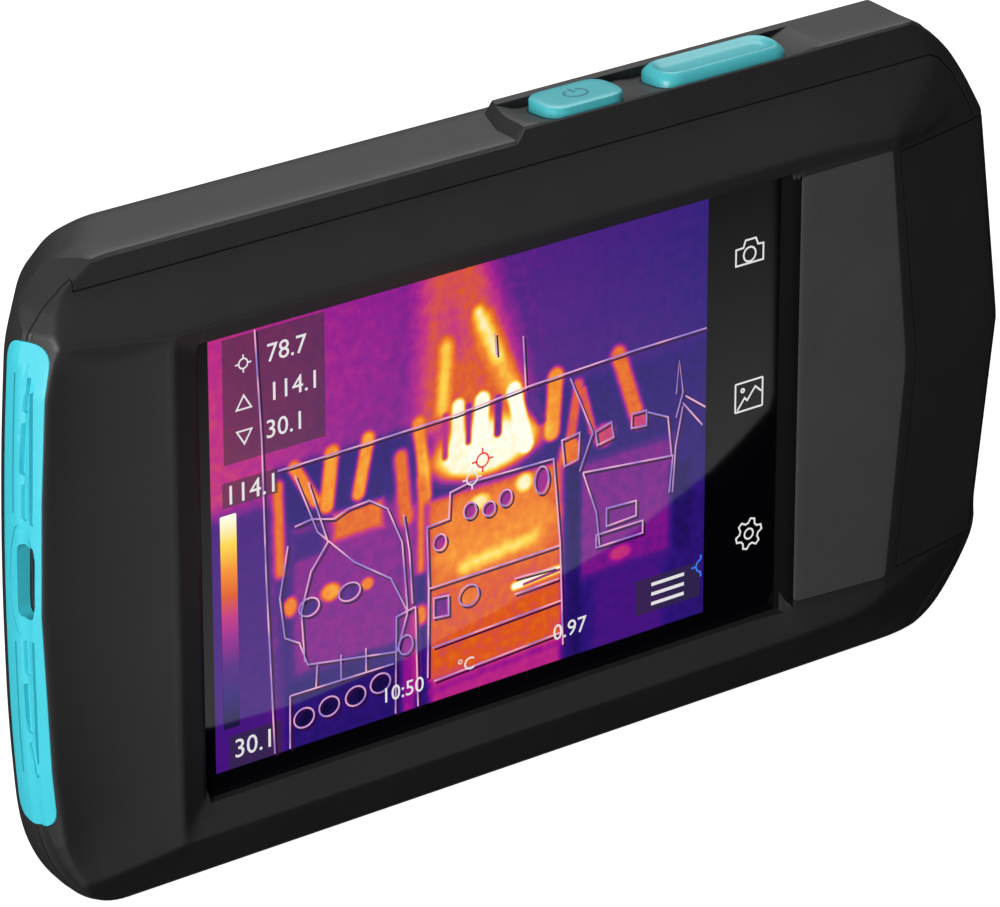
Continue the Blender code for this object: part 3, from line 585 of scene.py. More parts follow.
nodes = frame["nodes"]
FINISHES = {
    "battery": CELL, "button_board": BOARD, "camera_plate": PLATE, "camera_window": DARK_GLASS,
    "capture_plunger": STEEL, "capture_switch": CHIP, "card_socket": STEEL, "door_pin": STEEL,
    "lamp_board": BOARD, "lamp_lens": LAMP, "lcd_module": CHIP, "lens_barrel": LENS_METAL,
    "lens_ring": LENS_METAL,
    "main_board": BOARD, "microphone": STEEL, "midframe": MAGNESIUM, "power_plunger": STEEL,
    "power_switch": CHIP,
    "processor_shield": STEEL, "sensor_frame": MAGNESIUM, "shutter_blade": LENS_METAL, "shutter_motor": STEEL,
    "speaker": CHIP, "strap_bar": STEEL, "thermal_lens": GERMANIUM, "thermal_sensor": CHIP,
    "tripod_insert": BRASS,
    "usb_c_socket": STEEL, "visible_camera": CHIP,
}
for name, finish in FINISHES.items():
    nodes[name].material_slots[0].material = finish
for name, node in nodes.items():
    if "screw" in name:
        node.material_slots[0].material = STEEL


def finished(piece, finish, body, slot, *stands_for):
    """Gives a piece its finish, its body and the CAD nodes it stands for. The slot is not used."""
    piece.data.materials.clear()
    piece.data.materials.append(finish)
    if len(piece.data.vertices) > 5000:
        normals = piece.modifiers.new("normals", "WEIGHTED_NORMAL")
        normals.keep_sharp = True
    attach(piece, body)
    if stands_for:
        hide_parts(*stands_for)


# --- Where the form is parted -------------------------------------------------------------------------------
# The front moulding drops into the rear one along a line just inside the edge of the face; at the left end it
# reaches further back, behind the cyan insert. The door takes the right-hand side.
def corners_of(node):
    """Lowest and highest corners of a CAD node, in millimetres about the screen's centre."""
    return [((np.array(corner) - CENTRE) * 1000).round(2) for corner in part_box(node)]


def middle_of(node):
    """Centre of a CAD node's box, in the same units."""
    return np.mean(corners_of(node), axis=0).round(2)


HINGE = middle_of("door_pin")[:2]


def parting(grow):
    """The space of the front moulding, grown sideways and backwards."""
    line = np.array([(-70, 35.85), (69.2, 35.85), (70.6, 35.2), (72.6, 33.2), (74.6, 31.1), (75.8, 28.6),
                     (76.3, 26.6),
                     (90, 26.6), (90, -30.6), (76.1, -30.6), (75.4, -32.4), (72.7, -36.2), (71.2, -37.4),
                     (68.8, -38.2), (-70, -38.25)])
    line[:, 1] += np.where(line[:, 1] > 0, grow, -grow)
    line[:, 0] += np.where((line[:, 0] > 69) & (line[:, 0] < 89), grow * 0.7, 0)
    face_part = prism("face_part", line, -12, 1.5 + grow)
    end = np.array([(-75, 37.2), (-51.5, 37.2), (-51.5, -37.6), (-75, -37.6)])
    end[:, 1] += np.where(end[:, 1] > 0, grow, -grow)
    end[:, 0] += np.where(end[:, 0] > -60, grow, 0)
    return cut(face_part, prism("end_part", end, -12, 1.75 + grow), "UNION")


def door_space(name, grow):
    """The door's outline pushed through the form, with its bevelled left edge."""
    line = np.array([(62.9 - grow, 26.0 + grow), (66.4 - grow, -0.9), (64.1 - grow, -28.0 - grow),
                     (95, -28.0 - grow), (95, 26.0 + grow)])
    return prism(name, line, -12, HINGE[1] + grow)


def form_core(name, inset):
    """The case's form drawn in by the wall's thickness."""
    inner_face = slab("inner_face", face + [0, inset, 0], behind)
    return cut(side_body(name, SIDES, inset), inner_face, "INTERSECT")


front = cut(twin(case_form, "front_moulding"), parting(0.0), "INTERSECT")
rear = cut(twin(case_form, "rear_moulding"), parting(0.17))
door_wall = cut(door_space("door_wall", 0.18), form_core("seat_core", 2.0))
cut(front, door_wall, keep=True)
cut(rear, door_wall)
for piece in (front, rear):
    cut(piece, prism("bay", [(68.2, -12), (68.2, 11), (95, 11), (95, -12)], -28.2, 26.2, "Z"))
hinge_seat = turned("hinge_seat", HINGE, [(2.4, -28.2), (2.4, 26.2)], "Z")
cut(rear, hinge_seat)
cut(rear, turned("pin_bore", HINGE, [(0.66, -31.8), (0.66, 29.8)], "Z", 24))

# --- Front moulding -----------------------------------------------------------------------------------------
# One frame round the glass, with the ridge above and below the screen, the hollow wing at the left and the
# bed of the thumb pad at the right.
cut(front, prism("window", [(-36.6, -29), (46.3, -29), (46.3, 27.2), (-36.6, 27.2)], -12, 12))
cut(front, prism("glass_seat", rounded_path([(-38.4, -30.7, 1), (48.2, -30.7, 1), (48.2, 28.9, 1),
                                             (-38.4, 28.9, 1)]),
                 -0.02, 12))
PAD_LINE = [(47.55, 26.55, 0.8), (61.4, 26.6, 0.4), (64.35, -0.9, 3), (62.0, -28.7, 0.8), (47.55, -27.9, 0.8)]
pad_line = rounded_path(PAD_LINE)
middle = np.array([55.5, -0.9])
pad = cut(twin(case_form, "thumb_pad_skin"), prism("pad_space", pad_line, -12, -1.0), "INTERSECT")
cut(front, prism("pad_seat", pad_line + 0.07 * np.sign(pad_line - middle), -12, -0.95))
insert_line = rounded_path([(-0.9, -26.2, 2.5), (4.7, -26.2, 2.5), (4.7, 31.35, 2.5), (-0.9, 31.35, 2.5)],
                           0.6)


def end_plug(name, outline, depth):
    """Outline in Y and Z pushed into the left end, to depth below the outer surface there."""
    y, z = outline.T
    skin = np.maximum(np.interp(z, [-27.2, -15, 2, 18, 30], [-58.1, -59.0, -59.2, -58.6, -57.5]),
                      left_crest(z) - (y + 1.3) / 2)
    return sweep(name, np.stack([np.stack([np.full_like(y, -70.0), y, z], -1),
                                 np.stack([skin + depth, y, z], -1)]))


insert = cut(twin(case_form, "cyan_insert"), end_plug("insert_space", insert_line, 1.3), "INTERSECT")
grown_line = insert_line + 0.07 * np.sign(insert_line - [1.9, 2.6])
for piece in (front, rear):
    cut(piece, end_plug("insert_seat", grown_line, 1.4))
strap = rounded_path([(-0.15, -0.6, 1.1), (2.25, -0.6, 1.1), (2.25, 8.2, 1.1), (-0.15, 8.2, 1.1)], 0.4)
for piece in (front, insert):
    cut(piece, prism("strap_way", strap, -70, -53.8, "X"))


def slot_line(start, end, width):
    """Round-ended slot in Y and Z from start down to end."""
    start, end = np.array(start, float), np.array(end, float)
    heading = (end - start) / np.linalg.norm(end - start)
    angle = np.arctan2(heading[1], heading[0]) + np.radians(np.linspace(-90, 90, 9))
    cap = np.stack([np.cos(angle), np.sin(angle)], -1) * width / 2
    return np.concatenate([end + cap, start - cap])


for way in (1, -1):
    for start, end, width, depth in [((0.9, 27.2), (1.3, 23.8), 0.75, 0.7),
                                     ((1.4, 21.9), (1.5, 16.6), 0.75, 0.7),
                                     ((1.3, 14.8), (1.3, 11.3), 0.75, 0.7),
                                     ((3.0, 27.5), (2.9, 11.6), 0.3, 0.4),
                                     ((0.5, 26.8), (0.1, 10.9), 0.4, 0.4)]:
        ends = [(y, z if way > 0 else 7.6 - z) for y, z in (start, end)]
        cut(insert, end_plug("insert_slot", slot_line(*ends[::way], width), depth))
angle = np.linspace(0, 2 * math.pi, 40, endpoint=False)
swing = np.cos(angle)
oval = np.stack([1.6 + 2.1 * np.sign(swing) * abs(swing) ** 0.8 * 0.95, 3.8 + 6.6 * np.sin(angle)], -1)
boss = cut(end_plug("boss_ring", oval, 0.16),
           end_plug("boss_top", (oval - [1.6, 3.8]) * [0.86, 0.94] + [1.6, 3.8], 0.6))
cut(insert, boss)
shade(front, 28)
shade(pad, 28)
shade(insert, 50)
finished(front, GRAPHITE, "case", "case", "front_shell")
finished(pad, RUBBER, "case", "pad", "thumb_pad")
finished(insert, CYAN, "case", "accent", "end_insert")

# --- Rear moulding ------------------------------------------------------------------------------------------
# The deep half: side walls, back and button block, hollow inside, with sunk screws, the camera plate's
# seat, the sockets' openings and the tripod bush.
inner = rounded_path([(-55.4, 35.4, 9), (62.0, 35.4, 1), (62.0, -36.6, 1), (-55.4, -36.6, 14)], 8)
cavity = np.stack([side_ring(inner, y, left, 0, top, bottom, 1) for y, left, top, bottom in
                   [(0.5, 0.2, 0, 0), (5.4, 0.4, 0, 0), (12.2, 5.6, 0, 0), (15.8, 8.6, 2.6, 0.4),
                    (18.8, 11.6, 4.8, 2.8)]])
cut(rear, sweep("cavity", cavity))
for number in range(1, 7):
    x, _, z = middle_of(f"shell_screw_{number}")
    cut(rear, turned("boss", (x, z), [(3.3, 12.0), (3.3, 19.2)], sides=32), "UNION")
    cut(rear, turned("sink", (x, z), [(1.6, 11.0), (1.6, 13.9), (2.3, 14.0), (2.3, 20.1), (2.8, 21.0)],
                     sides=32))
(left, _, low), (right, _, high) = corners_of("camera_plate") + np.outer([-1, 1], [0.2, 0, 0.2])
plate_line = rounded_path([(left, low, 1.2), (right, low, 1.2), (right, high, 1.2), (left, high, 1.2)])
cut(rear, prism("plate_seat", plate_line, 19.6, 24))
for node, radius in (("thermal_lens", 8.8), ("visible_camera", 4.6), ("lamp_lens", 3.4)):
    x, _, z = middle_of(node)
    cut(rear, turned("camera_well", (x, z), [(radius, 12), (radius, 20)]))
cut(rear, turned("bush_well", middle_of("tripod_insert")[:2], [(4.6, -40.5), (4.6, -32)], "Z"))
(_, near, low), (_, far, high) = corners_of("usb_c_socket") + np.outer([-1, 1], [0, 0.1, 0.1])
usb_line = rounded_path([(near, low, 1.6), (far, low, 1.6), (far, high, 1.6), (near, high, 1.6)], 0.6)
cut(rear, prism("usb_slot", usb_line, 59, 70, "X"))
(_, near, low), (_, far, high) = corners_of("card_socket") + np.outer([-1, 1], [0, 0.1, 0.1])
cut(rear, prism("card_slot", [(near, low), (far, low), (far, high), (near, high)], 52, 70, "X"))

# The keys stand in a shallow trough that is open to the front edge: a ramp at each end, a saddle between
# the keys and a wall along the back.
POWER, CAPTURE = ([corner[0] for corner in corners_of(node)] for node in ("power_button", "capture_button"))
run = np.linspace(9.6, 55.2, 77)
deep = np.array([0.35, 1.0, 1.55, 1.9, 2.4, 4.5, 7.0, 9.0])
U, V = np.meshgrid(run, deep, indexing="ij")
drop = np.mean([np.interp(U + d, [11.1, 13.6, 25.4, 27.7, 30.2, 49.4, 54.4],
                          [0, 0.72, 0.78, 0.5, 0.78, 0.78, -0.1])
                for d in (-1, -0.5, 0, 0.5, 1)], axis=0)
bed = 40.62 - drop * np.interp(V, [0.35, 1.55, 2.4, 9.0], [0.3, 0.3, 0.8, 1.5])
cut(rear, slab("trough", np.stack([U, V, bed], -1), np.stack([U, V, np.full_like(U, 44.0)], -1)))
for low, high in (POWER, CAPTURE):
    way = rounded_path([(low - 0.2, 1.95, 3), (high + 0.2, 1.95, 3), (high + 0.2, 8.5, 3),
                        (low - 0.2, 8.5, 3)], 1)
    cut(rear, prism("key_way", way, 33, 43, "Z"))
shade(rear, 28)
finished(rear, GRAPHITE, "case", "case", "rear_shell")

# --- Connector door -----------------------------------------------------------------------------------------
# A bent plate over the right-hand side, on a steel pin at the back.
door = cut(cut(twin(case_form, "door_skin"), door_space("door_body", 0.0), "INTERSECT"),
           form_core("door_core", 1.8))
cut(door, turned("barrel", HINGE, [(2.0, -27.9), (2.0, 25.9)], "Z"), "UNION")
cut(door, turned("barrel_bore", HINGE, [(0.68, -29), (0.68, 27)], "Z", 24))
shade(door, 28)
finished(door, DOOR_GRAPHITE, "door", "case", "connector_door")

# --- Keys ---------------------------------------------------------------------------------------------------
# Power: flat-topped with chamfered sides. Capture: longer, dished, with a rolled rim.
KEY_FRONT, KEY_BACK = 2.1, corners_of("power_button")[1][1]


def key(name, low, high, levels):
    """Key with rounded corners in plan, drawn in by inset at each height of levels."""
    rings = []
    for inset, z in levels:
        left, right, near, far = low + inset, high - inset, KEY_FRONT + inset, KEY_BACK - inset
        spot = np.array([(left, near), (right, near), (right, far), (left, far)])
        reach = min(2.6 - 0.4 * inset, 0.48 * (far - near))
        rings.append(np.insert(corner_arcs(spot, reach, 9), 2, z, axis=1))
    return sweep(name, np.stack(rings), 35)


power = key("power_key_cap", *POWER, [(0.5, 35.4), (0.5, 38.0), (0.0, 38.6), (0.0, 40.95), (0.12, 41.15),
                                      (0.4, 41.25),
                                      (1.0, 41.26)])
capture = key("capture_key_cap", *CAPTURE, [(0.5, 35.4), (0.5, 38.0), (0.0, 38.6), (0.0, 40.55), (0.2, 40.95),
                                            (0.6, 41.4), (0.8, 41.5), (1.05, 41.45), (1.5, 41.1),
                                            (2.0, 40.95), (2.6, 40.92)])
KEY_CYAN = plastic("key_plastic", (0.05, 0.41, 0.46), (0.075, 0.49, 0.54), 0.38, 0.4, 0.006)
finished(power, KEY_CYAN, "power_key", "accent", "power_button")
finished(capture, KEY_CYAN, "capture_key", "accent", "capture_button")

# --- Glass and picture --------------------------------------------------------------------------------------
# Black glass with the thermal picture glowing in its active area: warm haze at the left going to indigo at
# the right, a flame, and three switchgear blocks under a rail. Labels stand on darkened panels.
picture = Paint("glass_and_picture", Roughness=0.04, Base_Color=(0.002, 0.002, 0.003))
x, z = picture.x, picture.z
heat = picture.noise(14.0, 2.0) * 0.10 + 0.29 - x * 0.0052
active = (x.do("ABSOLUTE") - 35.05).do("MAXIMUM", z.do("ABSOLUTE") - 26.3).within(-0.05, 0.05, 1, 0)


def disc(cx, cz, rx, rz, soft=0.3):
    """1 inside the ellipse round (cx, cz), 0 outside, eased over soft of its radius on each side."""
    u, v = (x - cx) / rx, (z - cz) / rz
    return (u * u + v * v).do("SQRT").within(1 - soft, 1 + soft, 1, 0)


def line(ax, az, bx, bz, half, soft=0.4):
    """1 within half of the straight stretch from (ax, az) to (bx, bz), 0 away from it."""
    along_x, along_z = bx - ax, bz - az
    run = along_x ** 2 + along_z ** 2
    t = ((x - ax) * (along_x / run) + (z - az) * (along_z / run)).do("ADD", 0.0, clamp=True)
    u, v = x - ax - t * along_x, z - az - t * along_z
    return (u * u + v * v).do("SQRT").within(half - soft, half + soft, 1, 0)


def block(x0, x1, z0, z1, soft=0.5):
    """1 inside the rectangle, 0 outside, eased over soft on each side of its edge."""
    u = (x - (x0 + x1) / 2).do("ABSOLUTE") - (x1 - x0) / 2
    v = (z - (z0 + z1) / 2).do("ABSOLUTE") - (z1 - z0) / 2
    return u.do("MAXIMUM", v).within(-soft, soft, 1, 0)


for mask, level in [
    (block(-40, -26.5, -40, 5, 2), 0.24), (block(-26, 40, -40, 8.6, 1.2), 0.13),
    (block(-24.5, -9, -17.5, 1, 1), 0.38),
    (block(-25, -9.5, -40, -19.5, 0.8), 0.12), (block(-9.2, -7.2, -40, -1, 0.6), 0.42),
    (block(-5.3, 13.9, -40, -1, 0.8), 0.50), (block(-5.3, 13.9, -23.5, -1, 0.8), 0.62),
    (block(-4, 12, -11.4, -2, 2), 0.70), (block(16, 30.5, -17, -2, 0.9), 0.36),
    (block(18.5, 29, -40, -17, 1.4), 0.24),
    (line(-4.6, 9, -3.6, 27, 2.6, 2.4), 0.58), (line(5.5, 9, -0.5, 27, 3.4, 2.6), 0.60),
    (line(0, 9, 0, 13, 4, 3), 0.62),
    (line(6.8, 9.5, 2.6, 19, 1.3, 1.2), 0.80), (line(4.6, 14.5, 1.9, 20.5, 0.7, 0.8), 0.93),
    (line(-2.6, 17.5, -3.2, 10, 0.9, 0.8), 0.84), (line(-26, 6.5, -25.8, -4, 0.8, 0.6), 0.68),
    (line(-23.8, 8.3, -21, 3.5, 0.9, 0.5), 0.72), (line(-18.6, 8.6, -19.4, 2.5, 1.1, 0.5), 0.75),
    (line(-13.6, 9, -15, 2.8, 1.0, 0.5), 0.76), (line(-9.1, 5.6, -8.4, -2, 1.1, 0.7), 0.66),
    (line(-6.6, 9, -5.6, 0, 0.9, 0.5), 0.74), (line(-6.2, 2, -6.4, -9, 0.7, 0.7), 0.68),
    (line(12.9, 9.8, 12.4, 3, 1.2, 0.5), 0.74), (line(16.2, 8, 15, 1, 0.8, 0.5), 0.62),
    (line(16.9, 7, 18.3, 1.6, 0.6, 0.4), 0.60), (line(22.0, 10.2, 24.6, 2.4, 1.2, 0.6), 0.66),
    (disc(15, -0.2, 1.7, 1.9, 0.3), 0.66), (disc(20, 0.6, 1.7, 1.6, 0.3), 0.56),
    (disc(25.2, 1, 1.4, 1.2, 0.3), 0.56),
    (block(-18.6, -11.6, -2.2, 1.3, 0.8), 0.66), (block(-24, -20, -3, 0, 0.7), 0.2),
    (disc(3, 3.6, 8, 3.6, 0.35), 0.98),
    (line(2.4, 9.6, 1.8, 2.5, 1.1, 0.35), 1.0), (line(6.9, 9.6, 8.6, 2.5, 1.1, 0.35), 1.0),
    (line(-1.0, 9.8, -1.3, 2.5, 0.9, 0.35), 0.97), (line(0.5, 9.4, 0.4, 5, 0.35, 0.3), 0.4),
    (line(4.7, 9.2, 4.6, 5, 0.5, 0.3), 0.34), (line(9.4, 8.6, 10.8, 5, 0.6, 0.4), 0.3),
    (line(-2.8, 9, -2.9, 4, 0.4, 0.3), 0.5),
    (line(0, -10.3, 9.6, -9.2, 0.9, 1.2), 0.93), (line(-3, -8.5, 12, -7.5, 1.2, 1.6), 0.74),
    (line(7, -15, 13.4, -14.6, 0.5, 0.3), 1.0),
    (line(8.4, -15.1, 13.6, -14.7, 0.15, 0.15), 0.3), (disc(-19, -8.3, 1.4, 1.1, 0.4), 0.76),
    (disc(-13.9, -8.7, 0.9, 0.8, 0.4), 0.70),
    (disc(-24.6, -8.6, 1, 1.3, 0.4), 0.70), (disc(-22, -9.3, 1.1, 1.0, 0.2), 0.2),
    (disc(-16.4, -9, 1.2, 1.0, 0.2), 0.3),
    (disc(2, -2.9, 1.4, 0.9, 0.5), 0.92), (disc(8.4, -2.2, 1.2, 1.1, 0.5), 0.95),
    (disc(0.6, -3.6, 0.8, 0.9, 0.2), 0.45),
    (disc(3.3, -4.1, 0.8, 0.8, 0.2), 0.45), (disc(5.7, -3.4, 0.8, 0.9, 0.2), 0.45),
    (disc(-3.7, -6.4, 0.8, 0.9, 0.2), 0.45),
    (disc(10.9, -2.5, 0.9, 1.6, 0.2), 0.42), (block(-4.5, -2.6, -15.8, -13.2, 0.4), 0.34),
    (disc(0.4, -14.2, 1.3, 1.2, 0.3), 0.68),
    (disc(22.5, -15, 1.6, 0.9, 0.4), 0.54), (disc(-6.4, -14.8, 0.9, 1.4, 0.5), 0.70),
    (line(-5, -25, 14, -24, 0.4, 0.4), 0.44),
    (disc(-22.9, -22.9, 1.2, 1.0, 0.2), 0.02), (disc(-19.4, -22.5, 1.2, 1.0, 0.2), 0.02),
    (disc(-15.7, -22.3, 1.2, 1.0, 0.2), 0.02), (disc(-12.2, -21.7, 1.2, 1.0, 0.2), 0.02),
    (block(14.8, 16.6, -40, -2, 0.5), 0.08),
    (block(30, 33, -17, -6, 0.8), 0.08), (line(-7.2, -15, -7.0, -24, 0.5, 0.5), 0.52),
]:
    heat = heat + (level - heat) * mask
warmth = heat + (picture.noise(1.3, 3.0) - 0.5) * 0.16
HEAT_STOPS = [(0.0, (0.004, 0.002, 0.035)), (0.15, (0.026, 0.006, 0.19)), (0.30, (0.08, 0.006, 0.22)),
              (0.42, (0.29, 0.005, 0.27)),
         (0.52, (0.52, 0.02, 0.22)), (0.62, (0.72, 0.09, 0.01)), (0.74, (0.90, 0.26, 0.012)),
         (0.87, (0.97, 0.68, 0.06)),
         (1.0, (1.0, 1.0, 0.85))]
panels = block(-33.2, -19.4, 11, 26, 0.05)
for edges in ((-33.5, -26, 5.9, 8.9), (-33.2, -26, -26.3, -22.2), (24.8, 34.5, -24, -19.5)):
    panels = panels.do("MAXIMUM", block(*edges, 0.05))
shown = picture.colour(panels * 0.72, picture.ramp(warmth, HEAT_STOPS), (0.03, 0.02, 0.035))
picture.set("Emission Color", picture.colour(active, (0, 0, 0), shown))
picture.set("Emission Strength", 1.0)
nodes["cover_glass"].material_slots[0].material = picture.made

# --- Marks on the screen ------------------------------------------------------------------------------------
def ribbons(name, paths, width, front=-0.03, back=-0.006, axis=1):
    """Thin flat strips along flat paths, from depth front to depth back on an axis. A path whose last point
    is its first is a closed loop."""
    points, faces = [], []
    for path in paths:
        path = np.array(path, float)
        closed = np.allclose(path[0], path[-1])
        path = path[:-1] if closed else path
        ahead = np.roll(path, -1, 0) - path
        behind_it = path - np.roll(path, 1, 0)
        if not closed:
            ahead[-1], behind_it[0] = behind_it[-1], ahead[0]
        ahead, behind_it = (v / np.linalg.norm(v, axis=1, keepdims=True) for v in (ahead, behind_it))
        side = np.stack([-(ahead + behind_it)[:, 1], (ahead + behind_it)[:, 0]], -1)
        side /= np.maximum((side * np.stack([-ahead[:, 1], ahead[:, 0]], -1)).sum(1), 0.5)[:, None]
        a, b = path + side * width / 2, path - side * width / 2
        rows = np.stack([np.insert(p, axis, d, axis=1) for p,
                         d in ((a, front), (b, front), (b, back), (a, back))], 1)
        start, count = sum(len(p) for p in points), len(path)
        quads = grid_quads(count, 4, True)
        ends = [[0, 1, 2, 3], [4 * count - 1, 4 * count - 2, 4 * count - 3, 4 * count - 4]]
        if closed:
            ends = [[4 * count - 4 + i, 4 * count - 4 + (i + 1) % 4, (i + 1) % 4, i] for i in range(4)]
        faces += (np.array(quads + ends) + start).tolist()
        points.append(rows.reshape(-1, 3))
    return solid(name, np.concatenate(points), faces, 30)


def arc(cx, cz, rx, rz, start=0, end=360, count=25):
    """Part of an ellipse round (cx, cz), from start to end in degrees."""
    angle = np.radians(np.linspace(start, end, count))
    return np.stack([cx + rx * np.cos(angle), cz + rz * np.sin(angle)], -1)


def loop(x0, x1, z0, z1, r=0.4):
    """Closed rectangle with rounded corners."""
    path = rounded_path([(x0, z0, r), (x1, z0, r), (x1, z1, r), (x0, z1, r)], 5)
    return np.concatenate([path, path[:1]])


def digits(name, text, x0, z0, height):
    """Numerals standing on the glass, from x0 rightwards with their foot at z0."""
    curve = bpy.data.curves.new(name, "FONT")
    curve.body, curve.size, curve.extrude = text, height * 1.42, 0.012
    curve.resolution_u = 3
    written = bpy.data.objects.new(name, curve)
    bpy.context.scene.collection.objects.link(written)
    flat = bpy.data.meshes.new_from_object(written.evaluated_get(bpy.context.evaluated_depsgraph_get()))
    points = np.empty(len(flat.vertices) * 3)
    flat.vertices.foreach_get("co", points)
    points = points.reshape(-1, 3)
    placed = np.stack([x0 + points[:, 0] * 1.02, -0.018 - points[:, 2], z0 + points[:, 1]], -1)
    faces = [list(face.vertices) for face in flat.polygons]
    bpy.data.objects.remove(written)
    return solid(name, placed, faces, 30)


def ink(name, colour, strength):
    """Lit screen ink, with the display's rows of dots showing faintly."""
    paint = Paint(name, Roughness=0.04, Base_Color=(0.002, 0.002, 0.002), Emission_Strength=strength)
    rows_of_dots = (paint.z * 28).do("SINE") * 0.04 + 0.96
    paint.set("Emission Color", paint.colour(rows_of_dots, (0, 0, 0), colour))
    return paint.made


WHITE_INK = ink("white_ink", (0.8, 0.8, 0.8), 1.0)
RED_INK = ink("red_ink", (0.9, 0.02, 0.02), 1.0)
BLUE_INK = ink("blue_ink", (0.05, 0.2, 0.9), 1.0)


def target(cx, cz, size):
    """Ring with four ticks."""
    ticks = [[(cx + size * 0.9 * u, cz + size * 0.9 * v), (cx + size * 1.8 * u, cz + size * 1.8 * v)]
             for u, v in ((1, 0), (-1, 0), (0, 1), (0, -1))]
    return [arc(cx, cz, size, size)] + ticks


tooth = np.tile([1.95, 1.95, 1.42, 1.42], 6)
turn = np.radians(np.arange(24) * 15.0 + np.tile([-1.5, 1.5, -1.5, 1.5], 6) + 6)
gear = np.stack([41.9 + tooth * np.cos(turn), -18 + tooth * np.sin(turn)], -1)
camera_line = np.array([(-2.05, -1.3), (-2.05, 0.75), (-0.95, 0.8), (-0.65, 1.65), (0.9, 1.65), (1.25, 0.8),
                        (2.05, 0.75),
                        (2.05, -1.3), (-2.05, -1.3)]) + [41.3, 18.1]
marks = [
    ribbons("screen_icons", [
        camera_line, arc(41.3, 17.9, 0.9, 0.9), loop(39.5, 43.6, -1.8, 1.8, 0.1),
        [(39.8, -1.6), (40.9, -0.2), (41.3, -0.6), (42.5, 0.9), (43.4, 0.1)], arc(40.6, 0.8, 0.22, 0.22),
        np.concatenate([gear, gear[:1]]), arc(41.9, -18, 0.65, 0.65)], 0.22),
    ribbons("middle_target", target(0.9, 0.3, 0.75) + target(-30.4, 22.6, 0.6), 0.18, -0.05, -0.034),
    ribbons("panel_glyphs", [[(-31.4, 17.2), (-30.4, 18.8), (-29.4, 17.2), (-31.4, 17.2)],
                             [(-31.4, 14.6), (-29.4, 14.6), (-30.4, 13.0), (-31.4, 14.6)]], 0.2),
    ribbons("menu_bars", [[(27.2, zz), (32.1, zz)] for zz in (-20.5, -21.75, -23.0)], 0.42),
    digits("reading_middle", "78.7", -27.3, 21.9, 2.2), digits("reading_high", "114.1", -27.1, 17.2, 2.2),
    digits("reading_low", "30.1", -27.6, 12.8, 2.2), digits("scale_high", "114.1", -33.2, 6.2, 2.3),
    digits("scale_low", "30.1", -32.6, -25.1, 2.3), digits("clock", "10:50", -12.1, -24.4, 1.9),
    digits("unit", "\u00b0C", -1.3, -23.7, 1.6), digits("emissivity", "0.97", 12.6, -23.6, 2.0),
]
red = ribbons("hot_mark", target(2.4, 2.2, 0.85), 0.22, -0.05, -0.034)
blue = ribbons("cold_mark", [arc(34.7, -20.1, 0.8, 0.8, 100, 260, 12), [(33.2, -20.1), (33.9, -20.1)],
                             [(34.6, -18.7), (34.6, -19.3)], [(34.6, -20.9), (34.6, -21.5)]], 0.22, -0.05,
                             -0.034)
power_sign = ribbons("power_sign", [arc(19.6, 5.2, 1.5, 1.1, 115, 425, 25), [(19.6, 5.4), (19.6, 6.7)]], 0.34,
                     41.268, 41.285, 2)
finished(power_sign, plastic("sign_ink", (0.01, 0.17, 0.21), (0.015, 0.21, 0.26), 0.5), "power_key", "accent")

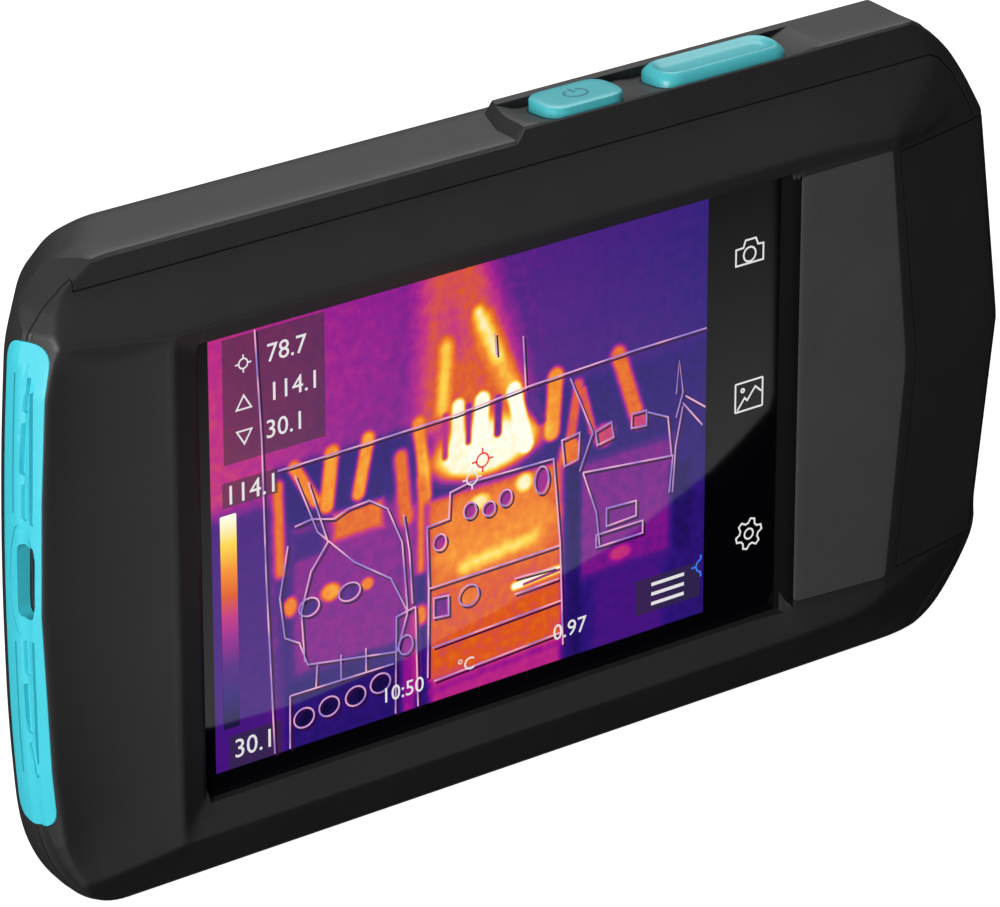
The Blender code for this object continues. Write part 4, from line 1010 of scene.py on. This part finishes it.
# Outlines that the device overlays on the picture: pale on the lit side, dark on the other.
outlines = [
    [(-26, 8.5), (-12.8, 8.6), (-1.2, 8.8), (9.2, 9.6), (24.1, 10.1), (35, 10.2)],
    [(-28.8, 26.2), (-28.1, 12.9), (-27.8, -4.1), (-27, -26.2)],
    [(-23.8, 1.1), (-21.5, 1.4), (-18.5, 0.6), (-16.5, 1.3), (-13.5, 1.5), (-11, -0.2), (-9, -4.9),
     (-8.3, -13.8), (-9.8, -18.4)],
    [(-24.8, -1), (-26, -7.1), (-25.4, -12.2), (-23.4, -13.4), (-22.3, -16.4), (-10, -18.4)],
    [(-23.7, 7.3), (-20.7, -0.4), (-15.7, -5.5), (-10.6, -9), (-8.3, -13.8)],
    [(-21.9, 6), (-19.3, -2), (-21.7, -5), (-23.1, -9.6), (-22.7, -15.9)],
    [(-5.5, -23), (-5.3, -11.8), (-5.5, -4), (-2.4, -3.8), (-2.2, -0.6), (0.7, -0.1), (12.6, -0.4),
     (13.6, -11.2), (14.1, -24.5)],
    [(-5.3, -11.8), (13.6, -11.6)], [(-4.8, -19.4), (13.9, -18.7)], [(-4.6, -23.7), (14.1, -22.8)],
    [(16.9, -3.3), (30.2, -4.7), (29.7, -9.3)], [(16.9, -3.3), (18.9, -8.9), (19.4, -13.2)],
    [(20.4, -8.8), (24.8, -9), (24.8, -10.9), (20.4, -11.1), (20.4, -8.8)],
    [(18.9, -11.8), (25.8, -11.8), (25.8, -13.4), (18.9, -13.4), (18.9, -11.8)],
    [(30.6, 3), (31, 7.2), (31.6, 3), (30.6, 0)], [(31.6, 1.2), (30.6, -3.6), (30.2, -9.4)],
    [(31.6, 1.6), (34.6, -2)],
    [(32, 2.4), (35, 0.2)], [(15, 9), (18.3, 1.4), (16.4, -3)],
    [(13.8, 1.6), (16.4, 1.9), (16.2, -1.4), (14.2, -1.8), (13.8, 1.6)],
    [(18.7, 1.4), (21, 2), (21.4, 0), (19, -0.4), (18.7, 1.4)],
    [(24, 2.2), (26.2, 2.1), (26.2, 0.2), (24, 0.4), (24, 2.2)],
    [(26.4, 1.8), (29.4, 0.4), (30, -4.6)], [(-24.8, -19.6), (-10.3, -19.8)],
    [(-24.8, -19.6), (-24.9, -26.2)],
    [(-9.9, -14), (-10.1, -26.2)], [(-7.2, -13.5), (-6.9, -26.2)], [(-9.9, -14), (-7.2, -13.5)],
    [(-8.8, -1.5), (-8, -6.3), (-7.6, -13)],
    [(-21, -16.8), (-21.2, -19.6)], [(-17.7, -16.5), (-17.7, -19.7)], [(-14.2, -16.7), (-14.2, -19.7)],
    [(-4.6, -13.2), (-2.5, -13.4), (-2.5, -15.9), (-4.6, -15.7), (-4.6, -13.2)],
    [(7, -14), (12.8, -14.2)], [(7, -16), (13.4, -15.8)], [(8.6, 9.4), (8.2, 16)], [(4.2, 17.4), (4.4, 14.6)],
    arc(-22, -9.3, 1.4, 1.1), arc(-16.4, -9, 1.5, 1.1), arc(0.6, -3.6, 0.9, 1.0), arc(3.3, -4.1, 0.9, 0.9),
    arc(5.7, -3.4, 0.9, 1.0),
    arc(-3.7, -6.4, 0.9, 1.0), arc(10.9, -2.6, 1.0, 1.7), arc(0.4, -14.2, 1.4, 1.3),
    arc(-22.9, -22.9, 1.4, 1.2),
    arc(-19.4, -22.5, 1.4, 1.2), arc(-15.7, -22.3, 1.4, 1.2), arc(-12.2, -21.7, 1.4, 1.2),
    arc(-8.6, -17.9, 1.0, 1.2),
]
pale = ribbons("picture_outlines_pale", outlines, 0.2, -0.016, -0.008)
dark = ribbons("picture_outlines_dark", [np.array(path) + [0.3, -0.34] for path in outlines], 0.26, -0.006,
               -0.003)
pale_ink = Paint("outline_pale", Roughness=0.04, Base_Color=(0.002, 0.002, 0.002), Emission_Strength=1.0)
tint = pale_ink.noise(4.0, 1.0).within(0.35, 0.65)
pale_ink.set("Emission Color", pale_ink.colour(tint, (0.30, 0.20, 0.60), (0.85, 0.42, 0.60)))
dark_ink = Paint("outline_dark", Roughness=0.04, Base_Color=(0.002, 0.002, 0.002), Emission_Strength=1.0)
dark_ink.set("Emission Color", dark_ink.colour(dark_ink.noise(5.0, 1.0), (0.006, 0.002, 0.04),
                                               (0.06, 0.004, 0.06)))
finished(pale, pale_ink.made, "case", "display")
finished(dark, dark_ink.made, "case", "display")
# A near-black strip with almost no sheen lines the right-hand wall of the window, beside the glass.
wall_strip = prism("window_wall_strip", [(45.9, -0.02), (46.25, -0.5), (46.6, -1.0), (47.05, -1.45), (47.5, -1.74),
                                (47.5, -1.3),
                                (46.6, -0.3), (46.35, -0.02)], -28.9, 26.8, "Z", 60)
finished(wall_strip, plastic("black_wall_strip", (0.001, 0.001, 0.001), (0.002, 0.002, 0.002), 0.6, 0.5, 0.01,
                         Specular_IOR_Level=0.06),
         "case", "pad")
for mark in marks:
    finished(mark, WHITE_INK, "case", "display")
finished(red, RED_INK, "case", "display")
finished(blue, BLUE_INK, "case", "display")
scale = Paint("scale_ink", Roughness=0.04, Base_Color=(0.01, 0.01, 0.01), Emission_Strength=1.0)
rise = (scale.z + 21.2) / 26.2
scale.set("Emission Color", scale.ramp(rise, HEAT_STOPS))
bar = prism("scale_bar", rounded_path([(-33.9, -21.2, 0.2), (-31.7, -21.2, 0.2), (-31.7, 5.0, 0.2),
                                       (-33.9, 5.0, 0.2)], 4),
            -0.03, -0.006)
finished(bar, scale.made, "case", "display")

# --- Close --------------------------------------------------------------------------------------------------
bpy.data.objects.remove(case_form)
bpy.context.view_layer.update()
